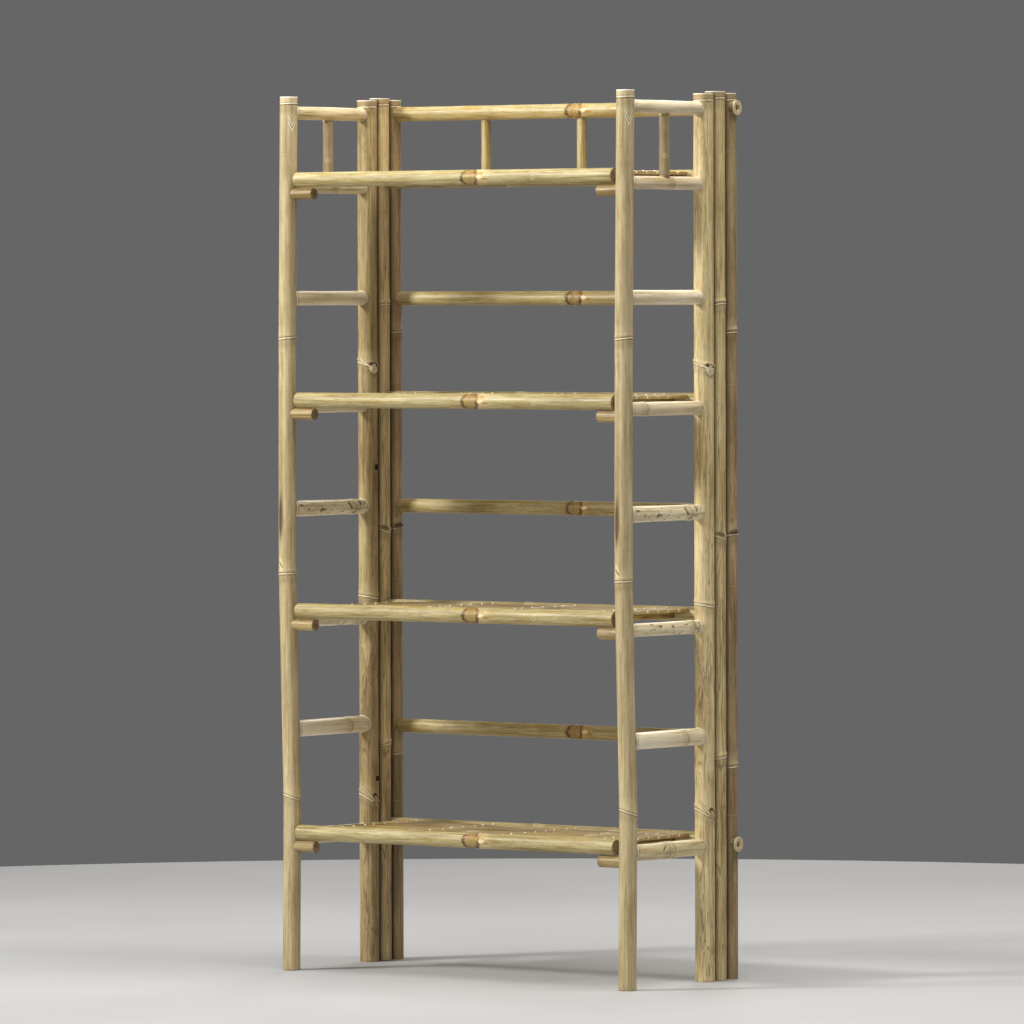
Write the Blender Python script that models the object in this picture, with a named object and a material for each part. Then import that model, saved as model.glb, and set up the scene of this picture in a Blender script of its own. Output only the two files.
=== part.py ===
"""Folding bamboo shelf: a back frame, two side frames hinged to it, and four shelves that tip up.

Metres, +Z up, +X to the right seen from the front, -Y to the front. The origin lies on the floor at
the middle of the shelf's footprint. Each side has four upright culms in a row from front to back: the
front post, the hinge post that the side frame turns about, the pivot post that carries the shelves,
and the back post that the back rails join.
"""

import math

import bmesh
import bpy
from mathutils import Vector

GAP = 0.0003

# Places of the uprights. Every upright's inner side lies on the same plane, INNER_X from the middle.
INNER_X = 0.411
FRONT_Y = -0.1735
HINGE_Y = 0.0905
PIVOT_Y = 0.1325
BACK_Y = 0.1740
FRONT_RADIUS = 0.0185
HINGE_RADIUS = 0.0205
PIVOT_RADIUS = 0.0200
BACK_RADIUS = 0.0195
FRONT_HEIGHT = 1.800
HINGE_HEIGHT = 1.797
PIVOT_HEIGHT = 1.802
BACK_HEIGHT = 1.799
POST_SIDES = 16

# A culm's nodes stand proud as low collars.
COLLAR_RISE = 0.0008
COLLAR_BELOW = 0.007
COLLAR_ABOVE = 0.005
FRONT_NODES = (0.356, 0.818, 1.303)
HINGE_NODES = (0.345, 0.762, 1.2515)
PIVOT_NODES = (0.451, 0.905, 1.370)
BACK_NODES = (0.432, 0.907, 1.312)
# The front posts are crooked: (height, shift in X, shift in Y) at each bend.
FRONT_BENDS = (
    (0.012, 0.0, 0.0),
    (0.356, 0.0025, 0.001),
    (0.818, -0.006, -0.0015),
    (1.303, -0.0045, -0.0012),
    (1.788, 0.0, 0.0),
)

# Shelves, numbered from the top: the height of each shelf's two poles.
SHELF_Z = (1.629, 1.176, 0.742, 0.285)
FRONT_POLE_RADIUS = 0.0160
FRONT_POLE_LEFT_END = -0.4075
FRONT_POLE_RIGHT_END = 0.4030
FRONT_POLE_NODE = 0.449
REAR_POLE_RADIUS = 0.0155
REAR_POLE_HALF = 0.409
POLE_SIDES = 14
TENON_RADIUS = 0.0080
TENON_HOLE_RADIUS = 0.0086
TENON_LENGTH = 0.025
SLAT_COUNT = 8
SLAT_PITCH = 0.0355
FIRST_SLAT = 0.030
SLAT_WIDTH = 0.0330
SLAT_THICKNESS = 0.0070
SLAT_TOP = 0.0120
SLAT_EDGE = 0.0016
DECK_HALF_LENGTH = 0.370
BATTEN_X = (-0.315, -0.115, 0.095, 0.325)
BATTEN_WIDTH = 0.028
BATTEN_HEIGHT = 0.014
BATTEN_BITE = 0.0005

# Pegs that the front poles rest on.
PEG_RADIUS = 0.0123
PEG_TIP = 0.066
PEG_DEPTH = 0.005
PEG_DROP = FRONT_POLE_RADIUS + PEG_RADIUS + 0.0005

# Side rungs from the top: height, radius at the front, radius at the rear.
SIDE_RUNGS = (
    (1.767, 0.0140, 0.0140),
    (1.615, 0.0135, 0.0135),
    (1.3855, 0.0150, 0.0150),
    (1.162, 0.0145, 0.0145),
    (0.9515, 0.0172, 0.0156),
    (0.7195, 0.0140, 0.0140),
    (0.4975, 0.0174, 0.0174),
    (0.2735, 0.0170, 0.0170),
)
RUNG_SIDES = 12
SIDE_SPINDLE_RADIUS = 0.0112
SPINDLE_SIDES = 10

# Back rails from the top: height, and whether the rail runs through the back posts.
BACK_RAILS = (
    (1.769, True),
    (1.629, False),
    (1.384, False),
    (0.951, False),
    (0.490, False),
    (0.274, True),
)
RAIL_RADIUS = 0.0155
RAIL_NODE = 0.457
STUB_OUT = 0.007
BACK_SPINDLE_X = (-0.183, 0.064)
BACK_SPINDLE_RADIUS = 0.0110

# Hinges: a steel rod down each hinge post, held by two screw eyes in the pivot post.
EYE_Z = {"upper": 1.0325, "lower": 0.382}
ROD_RADIUS = 0.0030
ROD_BORE_RADIUS = 0.0036
ROD_LOW_Z = 0.366
ROD_HIGH_Z = 1.785
EYE_RING_RADIUS = 0.0056
EYE_WIRE_RADIUS = 0.0016
EYE_SHANK_DEPTH = 0.016
SHANK_HOLE_RADIUS = 0.0022
NOTCH_HEIGHT = 0.011
NOTCH_POCKET_RADIUS = 0.0080
NOTCH_REACH = 0.030
NOTCH_INWARD = math.radians(96)
NOTCH_OUTWARD = math.radians(30)

SIDES = {"left": -1, "right": 1}

PALE_CANE = (0.56, 0.46, 0.27)
GOLD_CANE = (0.60, 0.46, 0.22)
GREY_CANE = (0.42, 0.35, 0.22)
LIGHT_CANE = (0.66, 0.56, 0.38)
STEEL = (0.55, 0.55, 0.56)


def clear_scene():
    for obj in list(bpy.data.objects):
        bpy.data.objects.remove(obj, do_unlink=True)


def new_collection(name):
    made = bpy.data.collections.new(name)
    bpy.context.scene.collection.children.link(made)
    return made


def material(name, colour, roughness, metallic=0.0):
    made = bpy.data.materials.new(name)
    made.use_nodes = True
    shader = made.node_tree.nodes["Principled BSDF"]
    shader.inputs["Base Color"].default_value = (*colour, 1.0)
    shader.inputs["Roughness"].default_value = roughness
    shader.inputs["Metallic"].default_value = metallic
    return made


def post_x(side, radius):
    return SIDES[side] * (INNER_X + radius)


def bend_at(bends, height):
    """The sideways shift of a crooked post's centre line at a height, as (x, y)."""
    for (low, x_low, y_low), (high, x_high, y_high) in zip(bends, bends[1:]):
        if low <= height <= high:
            share = (height - low) / (high - low)
            return x_low + share * (x_high - x_low), y_low + share * (y_high - y_low)
    return 0.0, 0.0


# Making shapes


def mesh_object(name, mesh, location=(0, 0, 0), rotation=(0, 0, 0)):
    made = bpy.data.objects.new(name, mesh)
    made.location = location
    made.rotation_euler = rotation
    return made


def curve_to_mesh(curve_object):
    """A mesh object in place of the curve object, with its caps welded on."""
    bpy.context.scene.collection.objects.link(curve_object)
    bpy.context.view_layer.update()
    graph = bpy.context.evaluated_depsgraph_get()
    mesh = bpy.data.meshes.new_from_object(curve_object.evaluated_get(graph))
    welded = bmesh.new()
    welded.from_mesh(mesh)
    bmesh.ops.remove_doubles(welded, verts=welded.verts, dist=1e-5)
    welded.to_mesh(mesh)
    welded.free()
    name = curve_object.name
    place = curve_object.matrix_world.copy()
    curve = curve_object.data
    bpy.data.objects.remove(curve_object)
    bpy.data.curves.remove(curve)
    made = bpy.data.objects.new(name, mesh)
    made.matrix_world = place
    return made


def tube(name, path, sides, location=(0, 0, 0), rotation=(0, 0, 0)):
    """A round solid along a path of (x, y, z, radius) points."""
    curve = bpy.data.curves.new(name, "CURVE")
    curve.dimensions = "3D"
    curve.bevel_depth = 1.0
    curve.bevel_resolution = (sides - 4) // 2
    curve.use_fill_caps = True
    spline = curve.splines.new("POLY")
    spline.points.add(len(path) - 1)
    for point, (x, y, z, radius) in zip(spline.points, path):
        point.co = (x, y, z, 1.0)
        point.radius = radius
    made = bpy.data.objects.new(name, curve)
    made.location = location
    made.rotation_euler = rotation
    return curve_to_mesh(made)


def culm_path(length, radius, end_radius=None, nodes=(), bends=()):
    """Points up a culm: its ends, its bends and a low collar at each node."""
    end_radius = radius if end_radius is None else end_radius
    rises = {0.0: 0.0, length: 0.0}
    rises.update({height: 0.0 for height, _, _ in bends})
    for node in nodes:
        rises[node - COLLAR_BELOW] = 0.0
        rises[node] = COLLAR_RISE
        rises[node + COLLAR_ABOVE] = 0.0
    path = []
    for height in sorted(rises):
        x, y = bend_at(bends, height)
        taper = radius + (end_radius - radius) * height / length
        path.append((x, y, height, taper + rises[height]))
    return path


def cylinder(name, radius, length, sides, location, rotation=(0, 0, 0)):
    """A cylinder centred on its location, along its own Z."""
    mesh = bpy.data.meshes.new(name)
    shape = bmesh.new()
    bmesh.ops.create_cone(
        shape, cap_ends=True, segments=sides, radius1=radius, radius2=radius, depth=length
    )
    shape.to_mesh(mesh)
    shape.free()
    return mesh_object(name, mesh, location, rotation)


def box(name, size, location, edge=0.0):
    """A box whose four long edges, along X, are chamfered by edge where one is given."""
    mesh = bpy.data.meshes.new(name)
    shape = bmesh.new()
    bmesh.ops.create_cube(shape, size=1.0)
    bmesh.ops.scale(shape, vec=size, verts=shape.verts)
    if edge:
        tops = [
            e
            for e in shape.edges
            if all(v.co.z > 0 for v in e.verts) and abs(e.verts[0].co.y - e.verts[1].co.y) < 1e-6
        ]
        bmesh.ops.bevel(shape, geom=tops, offset=edge, segments=1, affect="EDGES")
    shape.to_mesh(mesh)
    shape.free()
    return mesh_object(name, mesh, location)


ALONG_X = (0, math.pi / 2, 0)
ALONG_Y = (-math.pi / 2, 0, 0)


class Build:
    """The parts and cutters made so far, and the finish of each kind of piece."""

    def __init__(self):
        self.parts = new_collection("folding_bamboo_shelf")
        self.cutters = new_collection("cutters")
        self.pale = material("pale_cane", PALE_CANE, 0.45)
        self.gold = material("gold_cane", GOLD_CANE, 0.32)
        self.grey = material("grey_cane", GREY_CANE, 0.5)
        self.light = material("light_cane", LIGHT_CANE, 0.42)
        self.steel = material("steel", STEEL, 0.35, 1.0)

    def pivot(self, name, location):
        """An empty on a joint's axis."""
        made = bpy.data.objects.new(name, None)
        made.location = location
        made.empty_display_size = 0.05
        self.parts.objects.link(made)
        return made

    def part(self, obj, finish, parent=None):
        obj.data.materials.clear()
        obj.data.materials.append(finish)
        obj.data.shade_smooth()
        obj.data.set_sharp_from_angle(angle=math.radians(40))
        self.parts.objects.link(obj)
        if parent:
            obj.parent = parent
            obj.location = obj.location - parent.location
        return obj

    def cutter(self, obj):
        obj.hide_render = True
        obj.display_type = "WIRE"
        self.cutters.objects.link(obj)
        return obj

    def cut(self, obj, cutter):
        self.boolean(obj, cutter, "DIFFERENCE")

    def join(self, obj, other):
        self.boolean(obj, other, "UNION")

    def boolean(self, obj, other, operation):
        made = obj.modifiers.new(other.name, "BOOLEAN")
        made.operation = operation
        made.solver = "EXACT"
        made.object = other


# Side frames


def side_hinge(build, side):
    return build.pivot(f"side_hinge_{side}", (post_x(side, HINGE_RADIUS), HINGE_Y, 0.0))


def front_post(build, side, hinge):
    path = culm_path(FRONT_HEIGHT, FRONT_RADIUS, nodes=FRONT_NODES, bends=FRONT_BENDS)
    place = (post_x(side, FRONT_RADIUS), FRONT_Y, 0.0)
    post = build.part(tube(f"front_post_{side}", path, POST_SIDES, place), build.pale, hinge)
    for number, shelf_z in enumerate(SHELF_Z, 1):
        x, _ = bend_at(FRONT_BENDS, shelf_z)
        sign = SIDES[side]
        inner = sign * (INNER_X + FRONT_RADIUS - PEG_TIP)
        outer = place[0] + x + sign * (PEG_DEPTH + GAP)
        peg_place = ((inner + outer) / 2, FRONT_Y, shelf_z - PEG_DROP)
        hole = cylinder(
            f"peg_hole_{number}_{side}",
            PEG_RADIUS + GAP,
            abs(outer - inner),
            RUNG_SIDES,
            peg_place,
            ALONG_X,
        )
        build.cut(post, build.cutter(hole))


def shelf_peg(build, side, number, shelf_z, hinge):
    sign = SIDES[side]
    x, _ = bend_at(FRONT_BENDS, shelf_z)
    inner = sign * (INNER_X + FRONT_RADIUS - PEG_TIP)
    outer = post_x(side, FRONT_RADIUS) + x + sign * PEG_DEPTH
    place = ((inner + outer) / 2, FRONT_Y, shelf_z - PEG_DROP)
    name = f"shelf_peg_{number}_{side}"
    peg = cylinder(name, PEG_RADIUS, abs(outer - inner), RUNG_SIDES, place, ALONG_X)
    build.part(peg, build.light, hinge)


def sector(name, radius, start, end, height, location):
    """A flat wedge about its own Z, from one angle to another, centred on its location in height."""
    steps = 8
    outline = [(0.0, 0.0)]
    for step in range(steps + 1):
        angle = start + (end - start) * step / steps
        outline.append((radius * math.cos(angle), radius * math.sin(angle)))
    curve = bpy.data.curves.new(name, "CURVE")
    curve.dimensions = "2D"
    curve.fill_mode = "BOTH"
    curve.extrude = height / 2
    spline = curve.splines.new("POLY")
    spline.points.add(len(outline) - 1)
    spline.use_cyclic_u = True
    for point, (x, y) in zip(spline.points, outline):
        point.co = (x, y, 0.0, 1.0)
    made = bpy.data.objects.new(name, curve)
    made.location = location
    return curve_to_mesh(made)


def hinge_post(build, side, hinge):
    path = culm_path(HINGE_HEIGHT, HINGE_RADIUS, nodes=HINGE_NODES)
    x = post_x(side, HINGE_RADIUS)
    place = (x, HINGE_Y, 0.0)
    post = build.part(tube(f"hinge_post_{side}", path, POST_SIDES, place), build.pale, hinge)
    bore_low = ROD_LOW_Z - 2 * GAP
    bore_high = HINGE_HEIGHT + 0.01
    bore = cylinder(
        f"rod_bore_{side}",
        ROD_BORE_RADIUS,
        bore_high - bore_low,
        RUNG_SIDES,
        (x, HINGE_Y, (bore_high + bore_low) / 2),
    )
    build.cut(post, build.cutter(bore))
    rear = math.pi / 2
    turn = SIDES[side]
    first, last = sorted((rear - turn * NOTCH_OUTWARD, rear + turn * NOTCH_INWARD))
    for level, height in EYE_Z.items():
        spot = (x, HINGE_Y, height)
        pocket = cylinder(
            f"eye_pocket_{level}_{side}", NOTCH_POCKET_RADIUS, NOTCH_HEIGHT, RUNG_SIDES, spot
        )
        notch = sector(
            f"eye_notch_{level}_{side}", NOTCH_REACH, first, last, NOTCH_HEIGHT - GAP, spot
        )
        build.cut(post, build.cutter(pocket))
        build.cut(post, build.cutter(notch))


def hinge_rod(build, side, hinge):
    place = (post_x(side, HINGE_RADIUS), HINGE_Y, (ROD_LOW_Z + ROD_HIGH_Z) / 2)
    rod = cylinder(f"hinge_rod_{side}", ROD_RADIUS, ROD_HIGH_Z - ROD_LOW_Z, RUNG_SIDES, place)
    build.part(rod, build.steel, hinge)


def side_rungs(build, side, hinge):
    front_x = post_x(side, FRONT_RADIUS)
    hinge_x = post_x(side, HINGE_RADIUS)
    span = HINGE_Y - FRONT_Y
    hinge_saddle = build.cutter(
        cylinder(
            f"hinge_post_saddle_{side}",
            HINGE_RADIUS + GAP,
            HINGE_HEIGHT,
            POST_SIDES,
            (hinge_x, HINGE_Y, HINGE_HEIGHT / 2),
        )
    )
    for number, (height, front_radius, rear_radius) in enumerate(SIDE_RUNGS, 1):
        shift_x, shift_y = bend_at(FRONT_BENDS, height)
        run = span - shift_y
        path = (
            (front_x + shift_x, FRONT_Y + shift_y + 0.001, height, front_radius),
            (front_x + shift_x, FRONT_Y + shift_y + 0.2 * run, height, front_radius),
            (hinge_x, FRONT_Y + shift_y + 0.8 * run, height, rear_radius),
            (hinge_x, HINGE_Y - 0.001, height, rear_radius),
        )
        rung = build.part(
            tube(f"side_rung_{number}_{side}", path, RUNG_SIDES), build.light, hinge
        )
        front_saddle = cylinder(
            f"front_post_saddle_{number}_{side}",
            FRONT_RADIUS + 2 * GAP,
            0.08,
            POST_SIDES,
            (front_x + shift_x, FRONT_Y + shift_y, height),
        )
        build.cut(rung, build.cutter(front_saddle))
        build.cut(rung, hinge_saddle)


def side_spindle(build, side, hinge):
    """The short upright between the two top rungs of a side frame, halfway along them."""
    (high, high_radius, _), (low, low_radius, _) = SIDE_RUNGS[:2]
    middle_y = (FRONT_Y + HINGE_Y) / 2
    front_x = post_x(side, FRONT_RADIUS)
    hinge_x = post_x(side, HINGE_RADIUS)
    shift_x, _ = bend_at(FRONT_BENDS, (high + low) / 2)
    x = (front_x + shift_x + hinge_x) / 2
    name = f"side_spindle_{side}"
    spindle = cylinder(
        name, SIDE_SPINDLE_RADIUS, high - low, SPINDLE_SIDES, (x, middle_y, (high + low) / 2)
    )
    build.part(spindle, build.light, hinge)
    for level, height, radius in (("top", high, high_radius), ("foot", low, low_radius)):
        saddle = cylinder(
            f"{name}_{level}_saddle",
            radius + 2 * GAP,
            0.08,
            POST_SIDES,
            (x, middle_y, height),
            ALONG_Y,
        )
        build.cut(spindle, build.cutter(saddle))


def side_frame(build, side):
    hinge = side_hinge(build, side)
    front_post(build, side, hinge)
    hinge_post(build, side, hinge)
    hinge_rod(build, side, hinge)
    side_rungs(build, side, hinge)
    side_spindle(build, side, hinge)
    for number, shelf_z in enumerate(SHELF_Z, 1):
        shelf_peg(build, side, number, shelf_z, hinge)


# Back frame


def pivot_post(build, side):
    path = culm_path(PIVOT_HEIGHT, PIVOT_RADIUS, nodes=PIVOT_NODES)
    x = post_x(side, PIVOT_RADIUS)
    place = (x, PIVOT_Y, 0.0)
    post = build.part(tube(f"pivot_post_{side}", path, POST_SIDES, place), build.pale)
    sign = SIDES[side]
    depth = TENON_LENGTH + 2 * GAP
    for number, shelf_z in enumerate(SHELF_Z, 1):
        middle = sign * (INNER_X + (depth - 0.005) / 2)
        hole = cylinder(
            f"tenon_hole_{number}_{side}",
            TENON_HOLE_RADIUS,
            depth + 0.005,
            POST_SIDES,
            (middle, PIVOT_Y, shelf_z),
            ALONG_X,
        )
        build.cut(post, build.cutter(hole))
    for level, height in EYE_Z.items():
        front = PIVOT_Y - PIVOT_RADIUS
        hole_end = front + EYE_SHANK_DEPTH + 2 * GAP
        hole = cylinder(
            f"shank_hole_{level}_{side}",
            SHANK_HOLE_RADIUS,
            hole_end - front + 0.004,
            SPINDLE_SIDES,
            (post_x(side, HINGE_RADIUS), (hole_end + front - 0.004) / 2, height),
            ALONG_Y,
        )
        build.cut(post, build.cutter(hole))


def hinge_eye(build, side, level, height):
    """A screw eye: a ring about the hinge rod, and a shank let into the pivot post."""
    x = post_x(side, HINGE_RADIUS)
    name = f"hinge_eye_{level}_{side}"
    ring_path = []
    steps = 14
    opening = math.radians(40)
    for step in range(steps + 1):
        angle = -math.pi / 2 + opening / 2 + (2 * math.pi - opening) * step / steps
        ring_path.append(
            (
                EYE_RING_RADIUS * math.cos(angle),
                EYE_RING_RADIUS * math.sin(angle),
                0.0,
                EYE_WIRE_RADIUS,
            )
        )
    ring = build.part(tube(name, ring_path, 8, (x, HINGE_Y, height)), build.steel)
    shank_end = PIVOT_Y - PIVOT_RADIUS + EYE_SHANK_DEPTH
    shank_start = HINGE_Y + EYE_RING_RADIUS
    shank = cylinder(
        f"{name}_shank",
        EYE_WIRE_RADIUS * 0.96,
        shank_end - shank_start,
        8,
        (x, (shank_end + shank_start) / 2, height),
        ALONG_Y,
    )
    build.join(ring, build.cutter(shank))


def back_post(build, side):
    path = culm_path(BACK_HEIGHT, BACK_RADIUS, nodes=BACK_NODES)
    x = post_x(side, BACK_RADIUS)
    post = build.part(
        tube(f"back_post_{side}", path, POST_SIDES, (x, BACK_Y, 0.0)), build.grey
    )
    for number, (height, through) in enumerate(BACK_RAILS, 1):
        if not through:
            continue
        hole = cylinder(
            f"rail_hole_{number}_{side}",
            RAIL_RADIUS + GAP + COLLAR_RISE / 2,
            0.08,
            POST_SIDES,
            (x, BACK_Y, height),
            ALONG_X,
        )
        build.cut(post, build.cutter(hole))


def back_rails(build):
    saddles = [
        build.cutter(
            cylinder(
                f"back_post_saddle_{side}",
                BACK_RADIUS + GAP,
                BACK_HEIGHT,
                POST_SIDES,
                (post_x(side, BACK_RADIUS), BACK_Y, BACK_HEIGHT / 2),
            )
        )
        for side in SIDES
    ]
    for number, (height, through) in enumerate(BACK_RAILS, 1):
        reach = 2 * BACK_RADIUS + STUB_OUT if through else BACK_RADIUS * 0.9
        half = INNER_X + reach
        path = culm_path(2 * half, RAIL_RADIUS, nodes=(half - INNER_X + RAIL_NODE,))
        rail = tube(
            f"back_rail_{number}", path, POLE_SIDES, (-half, BACK_Y, height), ALONG_X
        )
        build.part(rail, build.gold)
        if not through:
            for saddle in saddles:
                build.cut(rail, saddle)


def back_spindles(build):
    """Short uprights between the two top back rails."""
    high = BACK_RAILS[0][0]
    low = BACK_RAILS[1][0]
    for number, x in enumerate(BACK_SPINDLE_X, 1):
        name = f"back_spindle_{number}"
        spindle = cylinder(
            name, BACK_SPINDLE_RADIUS, high - low, SPINDLE_SIDES, (x, BACK_Y, (high + low) / 2)
        )
        build.part(spindle, build.gold)
        for level, height in (("top", high), ("foot", low)):
            saddle = cylinder(
                f"{name}_{level}_saddle",
                RAIL_RADIUS + COLLAR_RISE + GAP,
                0.08,
                POST_SIDES,
                (x, BACK_Y, height),
                ALONG_X,
            )
            build.cut(spindle, build.cutter(saddle))


def back_frame(build):
    for side in SIDES:
        pivot_post(build, side)
        back_post(build, side)
        for level, height in EYE_Z.items():
            hinge_eye(build, side, level, height)
    back_rails(build)
    back_spindles(build)


# Shelves


def front_pole(build, number, height, hinge):
    length = FRONT_POLE_RIGHT_END - FRONT_POLE_LEFT_END
    path = culm_path(length, FRONT_POLE_RADIUS, nodes=(FRONT_POLE_NODE,))
    place = (FRONT_POLE_LEFT_END, FRONT_Y, height)
    pole = tube(f"shelf_{number}_front_pole", path, POLE_SIDES, place, ALONG_X)
    build.part(pole, build.gold, hinge)


def rear_pole(build, number, height, hinge):
    """The pole that the shelf turns on: its thinner ends turn in the pivot posts."""
    shoulder = REAR_POLE_HALF
    tip = INNER_X + TENON_LENGTH
    path = (
        (0, 0, -tip, TENON_RADIUS),
        (0, 0, -shoulder, TENON_RADIUS),
        (0, 0, -shoulder + 0.0005, REAR_POLE_RADIUS),
        (0, 0, shoulder - 0.0005, REAR_POLE_RADIUS),
        (0, 0, shoulder, TENON_RADIUS),
        (0, 0, tip, TENON_RADIUS),
    )
    name = f"shelf_{number}_rear_pole"
    pole = tube(name, path, POLE_SIDES, (0.0, PIVOT_Y, height), ALONG_X)
    build.part(pole, build.gold, hinge)


def deck(build, number, height, hinge):
    """The slats of one shelf, nailed down on four battens that are hollowed to fit the poles."""
    name = f"shelf_{number}_deck"
    slat_z = height + SLAT_TOP - SLAT_THICKNESS / 2
    batten_top = height + SLAT_TOP - SLAT_THICKNESS + BATTEN_BITE
    middle_y = (FRONT_Y + PIVOT_Y) / 2
    slat_size = (2 * DECK_HALF_LENGTH, SLAT_WIDTH, SLAT_THICKNESS)
    made = None
    for slat in range(SLAT_COUNT):
        y = FRONT_Y + FIRST_SLAT + slat * SLAT_PITCH
        piece_name = name if made is None else f"{name}_slat_{slat + 1}"
        piece = box(piece_name, slat_size, (0.0, y, slat_z), SLAT_EDGE)
        if made is None:
            made = build.part(piece, build.gold, hinge)
        else:
            build.join(made, build.cutter(piece))
    for count, x in enumerate(BATTEN_X, 1):
        size = (BATTEN_WIDTH, PIVOT_Y - FRONT_Y, BATTEN_HEIGHT)
        place = (x, middle_y, batten_top - BATTEN_HEIGHT / 2)
        build.join(made, build.cutter(box(f"{name}_batten_{count}", size, place)))
    for end, y, radius in (
        ("front", FRONT_Y, FRONT_POLE_RADIUS + COLLAR_RISE),
        ("rear", PIVOT_Y, REAR_POLE_RADIUS),
    ):
        saddle = cylinder(
            f"{name}_{end}_saddle",
            radius + GAP,
            2 * INNER_X,
            24,
            (0.0, y, height),
            ALONG_X,
        )
        build.cut(made, build.cutter(saddle))


def shelf(build, number, height):
    hinge = build.pivot(f"shelf_{number}_hinge", (0.0, PIVOT_Y, height))
    front_pole(build, number, height, hinge)
    rear_pole(build, number, height, hinge)
    deck(build, number, height, hinge)


def main():
    clear_scene()
    build = Build()
    for side in SIDES:
        side_frame(build, side)
    back_frame(build)
    for number, height in enumerate(SHELF_Z, 1):
        shelf(build, number, height)


main()
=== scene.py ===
"""Looks for the folding bamboo shelf. Each cane, slat, batten and nail head is a mesh made here around the
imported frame. The hinge rods and eyes are the frame's own, in steel. Each finish is a material of nodes.

Metres, +Z up, +X to the right seen from the front, -Y to the front. Every mesh is made in the frame's own
coordinates, so every object sits at the origin.
"""

import math
from dataclasses import dataclass

import bpy
import numpy as np
from mathutils import Euler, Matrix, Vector


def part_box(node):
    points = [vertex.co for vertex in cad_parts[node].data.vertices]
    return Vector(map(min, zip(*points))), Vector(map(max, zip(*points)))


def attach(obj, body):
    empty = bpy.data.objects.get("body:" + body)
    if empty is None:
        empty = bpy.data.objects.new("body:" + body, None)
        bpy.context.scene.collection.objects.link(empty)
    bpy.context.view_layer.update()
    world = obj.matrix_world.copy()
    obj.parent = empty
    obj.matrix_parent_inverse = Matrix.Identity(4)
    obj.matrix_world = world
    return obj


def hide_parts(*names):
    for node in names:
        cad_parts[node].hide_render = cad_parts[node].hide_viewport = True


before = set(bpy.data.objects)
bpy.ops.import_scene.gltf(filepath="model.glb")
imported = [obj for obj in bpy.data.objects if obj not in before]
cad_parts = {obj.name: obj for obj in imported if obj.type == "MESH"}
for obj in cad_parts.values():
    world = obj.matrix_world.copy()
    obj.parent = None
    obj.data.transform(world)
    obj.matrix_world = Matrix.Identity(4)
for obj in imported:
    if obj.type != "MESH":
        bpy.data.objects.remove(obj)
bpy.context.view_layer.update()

SIDES = {"left": -1, "right": 1}
COLLAR = 0.0008  # how much thicker a cane's CAD node is than the cane, to leave room for its nodes
GAP = 0.0003  # between a hollowed cane end and the cane it fits round
FULL_TURN = 2 * math.pi

X = np.array([1.0, 0.0, 0.0])
Y = np.array([0.0, 1.0, 0.0])
Z = np.array([0.0, 0.0, 1.0])


# Reading the frame


def box_of(node):
    low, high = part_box(node)
    return np.array(low), np.array(high)


def middle_of(node):
    low, high = box_of(node)
    return (low + high) / 2


def half_size(node):
    low, high = box_of(node)
    return (high - low) / 2


# The front posts are crooked: height, shift in X, shift in Y.
FRONT_BENDS = (
    (0.012, 0.0, 0.0),
    (0.356, 0.0025, 0.001),
    (0.818, -0.006, -0.0015),
    (1.303, -0.0045, -0.0012),
    (1.788, 0.0, 0.0),
)


def bent(heights):
    """The sideways shift of a front post at each height, as an array of points."""
    table = np.array(FRONT_BENDS)
    shift_x = np.interp(heights, table[:, 0], table[:, 1])
    shift_y = np.interp(heights, table[:, 0], table[:, 2])
    return np.stack([shift_x, shift_y, np.zeros_like(shift_x)], axis=-1)


# Making meshes


def smooth(value, low, high):
    """0 below low and 1 above high, with a smooth step between them."""
    share = np.clip((value - low) / (high - low), 0.0, 1.0)
    return share * share * (3 - 2 * share)


def bell(value, width):
    return np.exp(-((value / width) ** 2))


def wrap(angle):
    return (angle + math.pi) % FULL_TURN - math.pi


def mesh_piece(name, points, faces, face_finish, finishes, attributes):
    """A mesh object with smooth shading, one finish per face and an attribute for each array given."""
    mesh = bpy.data.meshes.new(name)
    mesh.from_pydata([tuple(p) for p in points], [], faces)
    for finish in finishes:
        mesh.materials.append(finish)
    mesh.polygons.foreach_set("material_index", np.array(face_finish, np.int32))
    for key, values in attributes.items():
        values = np.asarray(values, np.float32)
        kind, field = ("FLOAT_VECTOR", "vector") if values.ndim == 2 else ("FLOAT", "value")
        layer = mesh.attributes.new(key, kind, "POINT")
        layer.data.foreach_set(field, values.ravel())
    mesh.validate()
    mesh.shade_smooth()
    mesh.set_sharp_from_angle(angle=math.radians(50))
    made = bpy.data.objects.new(name, mesh)
    bpy.context.scene.collection.objects.link(made)
    return made


def loft(grid, cut_from=()):
    """Points and faces of a tube through rings of points, with a fan at each end, and each face's finish:
    1 in the fans and where the ring interval is in cut_from."""
    rings, sides = grid.shape[:2]
    points = list(grid.reshape(-1, 3))
    faces = []
    finish = []
    for ring in range(rings - 1):
        here = ring * sides
        for side in range(sides):
            after = (side + 1) % sides
            faces.append((here + side, here + after, here + sides + after, here + sides + side))
            finish.append(1 if ring in cut_from else 0)
    for ring in (0, rings - 1):
        centre = len(points)
        points.append(grid[ring].mean(axis=0))
        for side in range(sides):
            corner = ring * sides + side
            after = ring * sides + (side + 1) % sides
            faces.append((after, corner, centre) if ring == 0 else (corner, after, centre))
            finish.append(1)
    return np.array(points), faces, finish


@dataclass
class Node:
    """A node of a cane: how far up the cane, how much its ring tilts and which way, and its shape."""

    at: float
    tilt: float = 0.10
    towards: float = 0.0
    ridge: float = 0.0009
    swell: float = 0.0010
    groove: float = 0.0006

    def rise(self, distance):
        """Height of the surface over the plain cane at a distance above the sheath scar."""
        scar = self.ridge * bell(distance, 0.0009)
        groove = -self.groove * bell(distance - 0.0026, 0.0012)
        ring = self.swell * bell(distance - 0.0068, 0.0036)
        flare = 0.45 * self.swell * bell(distance + 0.004, 0.008)
        return scar + groove + ring + flare


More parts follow.
